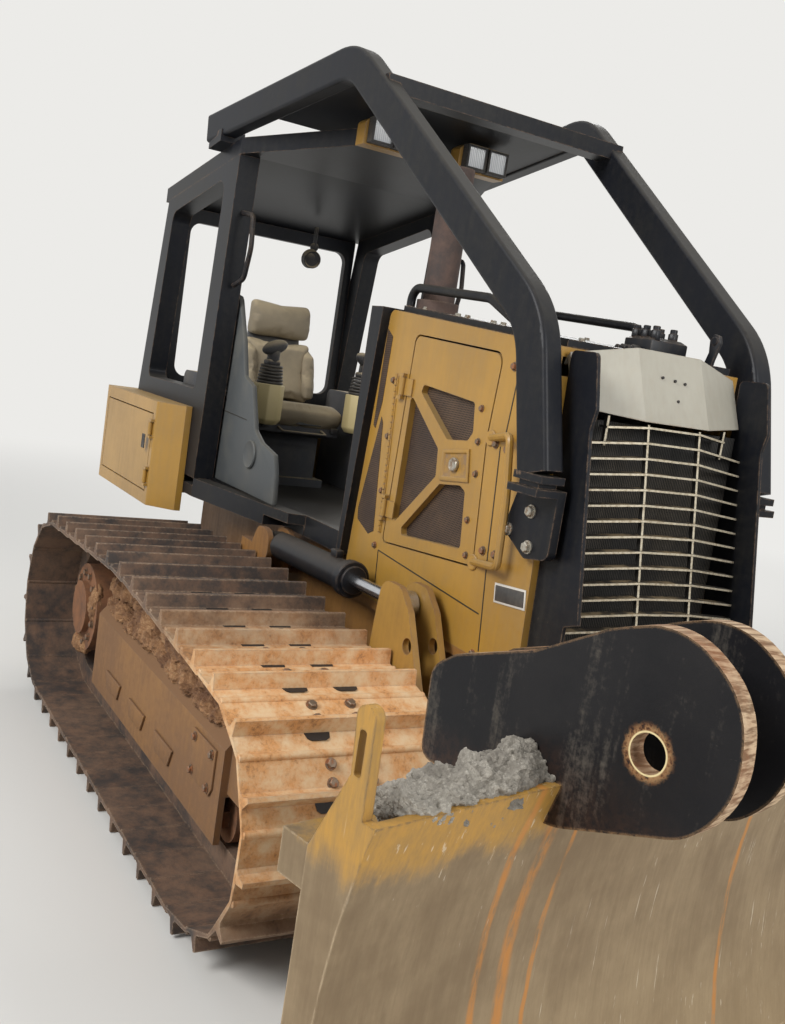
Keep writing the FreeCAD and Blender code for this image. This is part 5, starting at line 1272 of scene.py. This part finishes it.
settle(gather(parts), "seat_slides", "machine", grip_plastic)
dial = block((-1286, -30, 1374), (-1268, 110, 1396), 0.003)
settle(dial, "seat_dials", "machine", panel_grey)
print("seat suspension made")

# %% [markdown]
# ## Operator's controls
# Beside the seat stand two control pods: an eight-sided plastic housing, a rubber bellows with folds, and a
# shaped grip on top. The housing is an eight-sided cylinder whose underside is pulled down and drawn in, so
# it tapers to its foot. The grip is a ball stretched to an egg on a neck and a wrist block. Together they
# stand in for the two plain levers of the solid model.

# %% Pods, bellows and grips
POD_X, POD_Y, POD_Z = -1160, 252, 1478
for side, hand in SIDES:
    middle = spot(POD_X, side * POD_Y, POD_Z)
    pick_none()
    bpy.ops.mesh.primitive_cylinder_add(vertices=8, radius=0.088, depth=0.17, location=middle)
    pod = bpy.context.object
    pod.data.transform(Matrix.Rotation(math.radians(22.5), 4, "Z"))
    pod.scale = (0.92, 0.86, 1)
    bpy.ops.object.transform_apply(location=True, rotation=True, scale=True)
    shape_faces(pod, lambda face: face.normal.z < -0.9,
                lambda: bpy.ops.mesh.extrude_region_move(TRANSFORM_OT_translate={"value": (0, 0, -0.025)}))
    shape_faces(pod, lambda face: face.normal.z < -0.9,
                lambda: bpy.ops.transform.resize(value=(0.75, 0.75, 1), center_override=middle))
    broken_edges(pod, 0.006, 3)
    settle(pod, f"control_pod_{hand}", "machine", beige, 40)
    folds = []
    for level in range(6):
        pick_none()
        bpy.ops.mesh.primitive_cylinder_add(vertices=28, radius=0.064 - level * 0.002, depth=0.0135,
                                            location=middle + Vector((0, 0, 0.092 + level * 0.0155)))
        fold = bpy.context.object
        broken_edges(fold, 0.005, 2)
        folds.append(fold)
    settle(gather(folds), f"control_bellows_{hand}", "machine", rubber, 60)
    pick_none()
    bpy.ops.mesh.primitive_uv_sphere_add(segments=24, ring_count=14, radius=1)
    grip = bpy.context.object
    grip.scale = (0.030, 0.072, 0.034)
    grip.rotation_euler = (side * -0.35, 0.1, 0.2)
    grip.location = middle + Vector((0.01, 0, 0.262))
    neck = bar(middle + Vector((0, 0, 0.17)), middle + Vector((0.008, 0, 0.262)), 0.030, 16, 0.008)
    wrist = block((-1196, side * POD_Y - 34, 1650), (-1128, side * POD_Y + 34, 1682), 0.012)
    settle(gather([grip, neck, wrist]), f"control_grip_{hand}", "machine", grip_plastic, 60)
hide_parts("control_levers")
print("control pods made")

# %% [markdown]
# ## Side panels of the cab
# Tall plastic panels close the cab's sides in front of the middle posts. Each has a vent with slats, a round
# boss, and a seam where its two mouldings meet. The panel's stepped edge is what the eye reads, so it is cut
# as one sheet along its real outline.

# %% Panels, vents and bosses
PANEL = ((-1150, 1962), (-1060, 1948), (-1040, 1930), (-934, 1750), (-865, 1593), (-757, 1557), (-668, 1373),
         (-585, 1331), (-430, 1299), (-392, 1220), (-372, 1092), (-1175, 1092))
PANEL_VENT = ((-1122, 1606), (-1066, 1600), (-1040, 1462), (-1096, 1466))
SLATS, SLAT_STEP = 7, 18
for side, hand in SIDES:
    outward = Vector((0, side, 0))
    sheet = side_sheet(PANEL, side, 478, 0.026, 0.008)
    vent = side_sheet(PANEL_VENT, side, 504, 0.002, 0)
    slats = []
    for step in range(SLATS):
        z = 1480 + step * SLAT_STEP
        x = -1092 - (z - 1466) * 0.19
        slats.append(bar(spot(x, side * 507, z), spot(x + 46, side * 507, z + 9), 0.0045, 6, 0))
    boss = bar(spot(-668, side * 500, 1264), spot(-668, side * 516, 1264), 0.062, 32, 0.004)
    press_face(boss, outward, 0.014, -0.006)
    # The panel seam is a thin dark bar in painted shadow.
    seam = bar(spot(-1165, side * 504, 1420), spot(-770, side * 504, 1405), 0.0022, 6, 0)
    # The vent is a near-black sheet behind the slats, painted shade.
    settle(vent, f"panel_vent_{hand}", "machine", hollow_shade)
    settle(seam, f"panel_seam_{hand}", "machine", seam_dark)
    settle(gather([sheet, boss] + slats), f"side_panel_{hand}", "machine", panel_grey, 30)
print("side panels made")

# %% [markdown]
# ## Grab hoops and mirror
# A bent hoop hangs on each middle post beside the door opening, and a small round mirror hangs on a stalk
# under the roof at the back of the cab. The mirror's bowl is a flattened ball, and its front is a disc whose
# face is inset and sunk, which leaves a rim round the glass.

# %% Hoops and mirror
HOOP = ((-985, 560, 2306), (-870, 556, 2290), (-850, 556, 2150), (-890, 556, 2015), (-985, 562, 1985))
for side, hand in SIDES:
    hoop = bent_bar([spot(x, side * y, z) for x, y, z in HOOP], 0.0115, 0.05)
    settle(hoop, f"grab_hoop_{hand}", "machine", black)
stalk = bar(spot(-1700, 130, 2404), spot(-1700, 130, 2290), 0.011)
joint = bar(spot(-1712, 130, 2300), spot(-1690, 130, 2300), 0.022, 20, 0.004)
pick_none()
bpy.ops.mesh.primitive_uv_sphere_add(segments=28, ring_count=16, radius=1, location=spot(-1690, 110, 2235))
bowl = bpy.context.object
bowl.scale = (0.040, 0.052, 0.052)
bowl.rotation_euler = (0, 0.3, 0.3)
glass = bar(spot(-1700, 112, 2236), spot(-1645, 104, 2228), 0.047, 28, 0.004)
press_face(glass, AHEAD, 0.008, -0.010)
settle(gather([stalk, joint, bowl, glass]), "rear_mirror", "machine", grip_plastic, 50)
print("hoops and mirror hung")

# %% [markdown]
# ## Fittings on cylinders, sweeps and tank
# Every lift cylinder ends in a gland ring with a groove, the sweep's feet are held by bolts, and the tank's
# service door has a flush latch. The glands ride on their barrels and the latch rides on its door, because
# these move when the blade lifts or the door opens.

# %% Glands, foot bolts and latch
ROD_Y, EYE_X, EYE_Z = 475, -350, 942
for side, hand in SIDES:
    start = spot(EYE_X, side * ROD_Y, EYE_Z)
    way = (spot(720, side * ROD_Y, 970) - start).normalized()
    ring = bar(start + way * 0.660, start + way * 0.704, 0.068, 32, 0.004)
    groove = bar(start + way * 0.704, start + way * 0.716, 0.052, 32, 0.003)
    lug = block((180, side * ROD_Y - 16, 1012), (230, side * ROD_Y + 16, 1040), 0.004)
    settle(gather([ring, groove, lug]), f"cylinder_gland_{hand}", f"lift_{hand}_barrel", cylinder_black)
    cheek = side_places(((1212, 1385), (1116, 1314), (1222, 1282)), side, 405.4)
    bolts(f"sweep_foot_bolts_{hand}", "machine", zinc, cheek, (0, side, 0), 2.4)
    low_ring = bar(spot(1250, side * 430, 1476), spot(1250, side * 430, 1468), 0.030, 24, 0.002)
    settle(low_ring, f"sweep_foot_ring_{hand}", "machine", zinc)
latch = side_sheet(((-1392, 1238), (-1352, 1238), (-1352, 1170), (-1392, 1170)), -1, 770, 0.005, 0)
press_face(latch, Vector((0, -1, 0)), 0.008, -0.003)
broken_edges(latch, 0.001)
settle(latch, "tank_latch", "service_door", grip_plastic)
print("fittings made")

# %% [markdown]
# ## Covers on the track frame
# The track frame's beam has a bolted cover near the idler, and guards under it keep stones off the rollers.
# All are plain plate, so all are cut sheets, and the guards taper to their lower edge as the real ones do.

# %% Frame covers and roller guards
BEAM_FACE = 1025
COVER = ((430, 460), (640, 460), (640, 330), (620, 300), (430, 300))
COVER_BOLTS = ((455, 438), (615, 438), (455, 322), (605, 322))
GUARD = ((0, 300), (210, 300), (180, 232), (30, 232))
for side, hand in SIDES:
    cover = side_sheet(COVER, side, BEAM_FACE, 0.008, 0.002)
    settle(cover, f"frame_cover_{hand}", "machine", earthy)
    cover_places = side_places(COVER_BOLTS, side, BEAM_FACE + 8.2)
    bolts(f"frame_bolts_{hand}", "machine", scaled, cover_places, (0, side, 0), 1.9)
    guards = []
    for shift in (-640, -300, 40):
        guards.append(side_sheet([(x + shift, z) for x, z in GUARD], side, BEAM_FACE, 0.010, 0.003))
    settle(gather(guards), f"roller_guards_{hand}", "machine", earthy)
bpy.data.objects.remove(bolt)
print("track frame finished")

# %% [markdown]
# ## Floor
# The floor is a wide pale disc. Near the machine it takes shadows as any surface does. Far out it turns by
# and by into an even glow of the backdrop's tone, so that no horizon shows. It is marked as stage, because it
# isn't part of the machine.

# %% Floor
PALE = tone(236, 235, 232)
pick_none()
bpy.ops.mesh.primitive_circle_add(vertices=96, radius=26, fill_type="NGON", location=(0, 0, -0.002))
floor = bpy.context.object
floor.name = "studio_floor"
ground = Finish("studio_floor")
distance = ground.node("ShaderNodeVectorMath", {"operation": "LENGTH"}, ground.place, output="Value")
ground.feed(Base_Color=tone(214, 212, 207), Roughness=0.9)
far = ground.step(distance, 4.5, 12.0)
glow = ground.node("ShaderNodeEmission", {}, PALE)
lit = Wire(ground, ground.shader.outputs[0])
meet = ground.node("ShaderNodeMixShader", {}, far, lit, glow)
ground.tree.links.new(meet.socket, ground.tree.nodes["Material Output"].inputs["Surface"])
wear_finish(floor, ground.material)
floor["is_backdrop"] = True
print("floor laid, radius in m:", 26)

# %% [markdown]
# ## World and lamps
# An even pale world fills the shadows, a large soft lamp stands high on the right side, and two weaker ones
# stand in front and behind. Together they give a plain level, so that a colour renders about as it is
# written. A pale backdrop could come from more light, but that would bleach the machine. Instead, what the
# camera, the gloss and clear things see is another, brighter world than the one that lights.

# %% World and lamps
LIGHT_LEVEL = 0.50
world = bpy.data.worlds.new("studio")
bpy.context.scene.world = world
world.use_nodes = True
sky = world.node_tree
lights = sky.nodes["Background"]
lights.inputs["Color"].default_value = (0.93, 0.96, 1.0, 1)
lights.inputs["Strength"].default_value = LIGHT_LEVEL
shown = sky.nodes.new("ShaderNodeBackground")
shown.inputs["Color"].default_value = PALE
shown.inputs["Strength"].default_value = 1.0
path = sky.nodes.new("ShaderNodeLightPath")
seen = path.outputs["Is Camera Ray"]
for kind in ("Is Glossy Ray", "Is Transmission Ray"):
    either = sky.nodes.new("ShaderNodeMath")
    either.operation = "MAXIMUM"
    sky.links.new(seen, either.inputs[0])
    sky.links.new(path.outputs[kind], either.inputs[1])
    seen = either.outputs[0]
choice = sky.nodes.new("ShaderNodeMixShader")
sky.links.new(seen, choice.inputs[0])
sky.links.new(lights.outputs[0], choice.inputs[1])
sky.links.new(shown.outputs[0], choice.inputs[2])
sky.links.new(choice.outputs[0], sky.nodes["World Output"].inputs["Surface"])


def soft_lamp(name, place, watts):
    """A square lamp, 4 m wide, that looks at the middle of the machine."""
    lamp = bpy.data.lights.new(name, "AREA")
    lamp.size = 4.0
    lamp.energy = watts
    holder = bpy.data.objects.new(name, lamp)
    holder.location = place
    holder.rotation_euler = (Vector((0, 0, 1.0)) - Vector(place)).to_track_quat("-Z", "Y").to_euler()
    bpy.context.scene.collection.objects.link(holder)


soft_lamp("key_lamp", (1.5, -8.0, 6.5), 760)
soft_lamp("front_lamp", (8.5, 1.0, 4.5), 420)
soft_lamp("back_lamp", (-7.0, 6.0, 6.0), 380)
print("stage set")

# %% [markdown]
# ## Sizes
# Nothing that was added may stand out of the solid model's box, because that box is the machine's real size.
# The box round everything shown, floor left out, is printed.

# %% Sizes
low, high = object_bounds()
print("visual box:", [round(v, 3) for v in list(low) + list(high)])
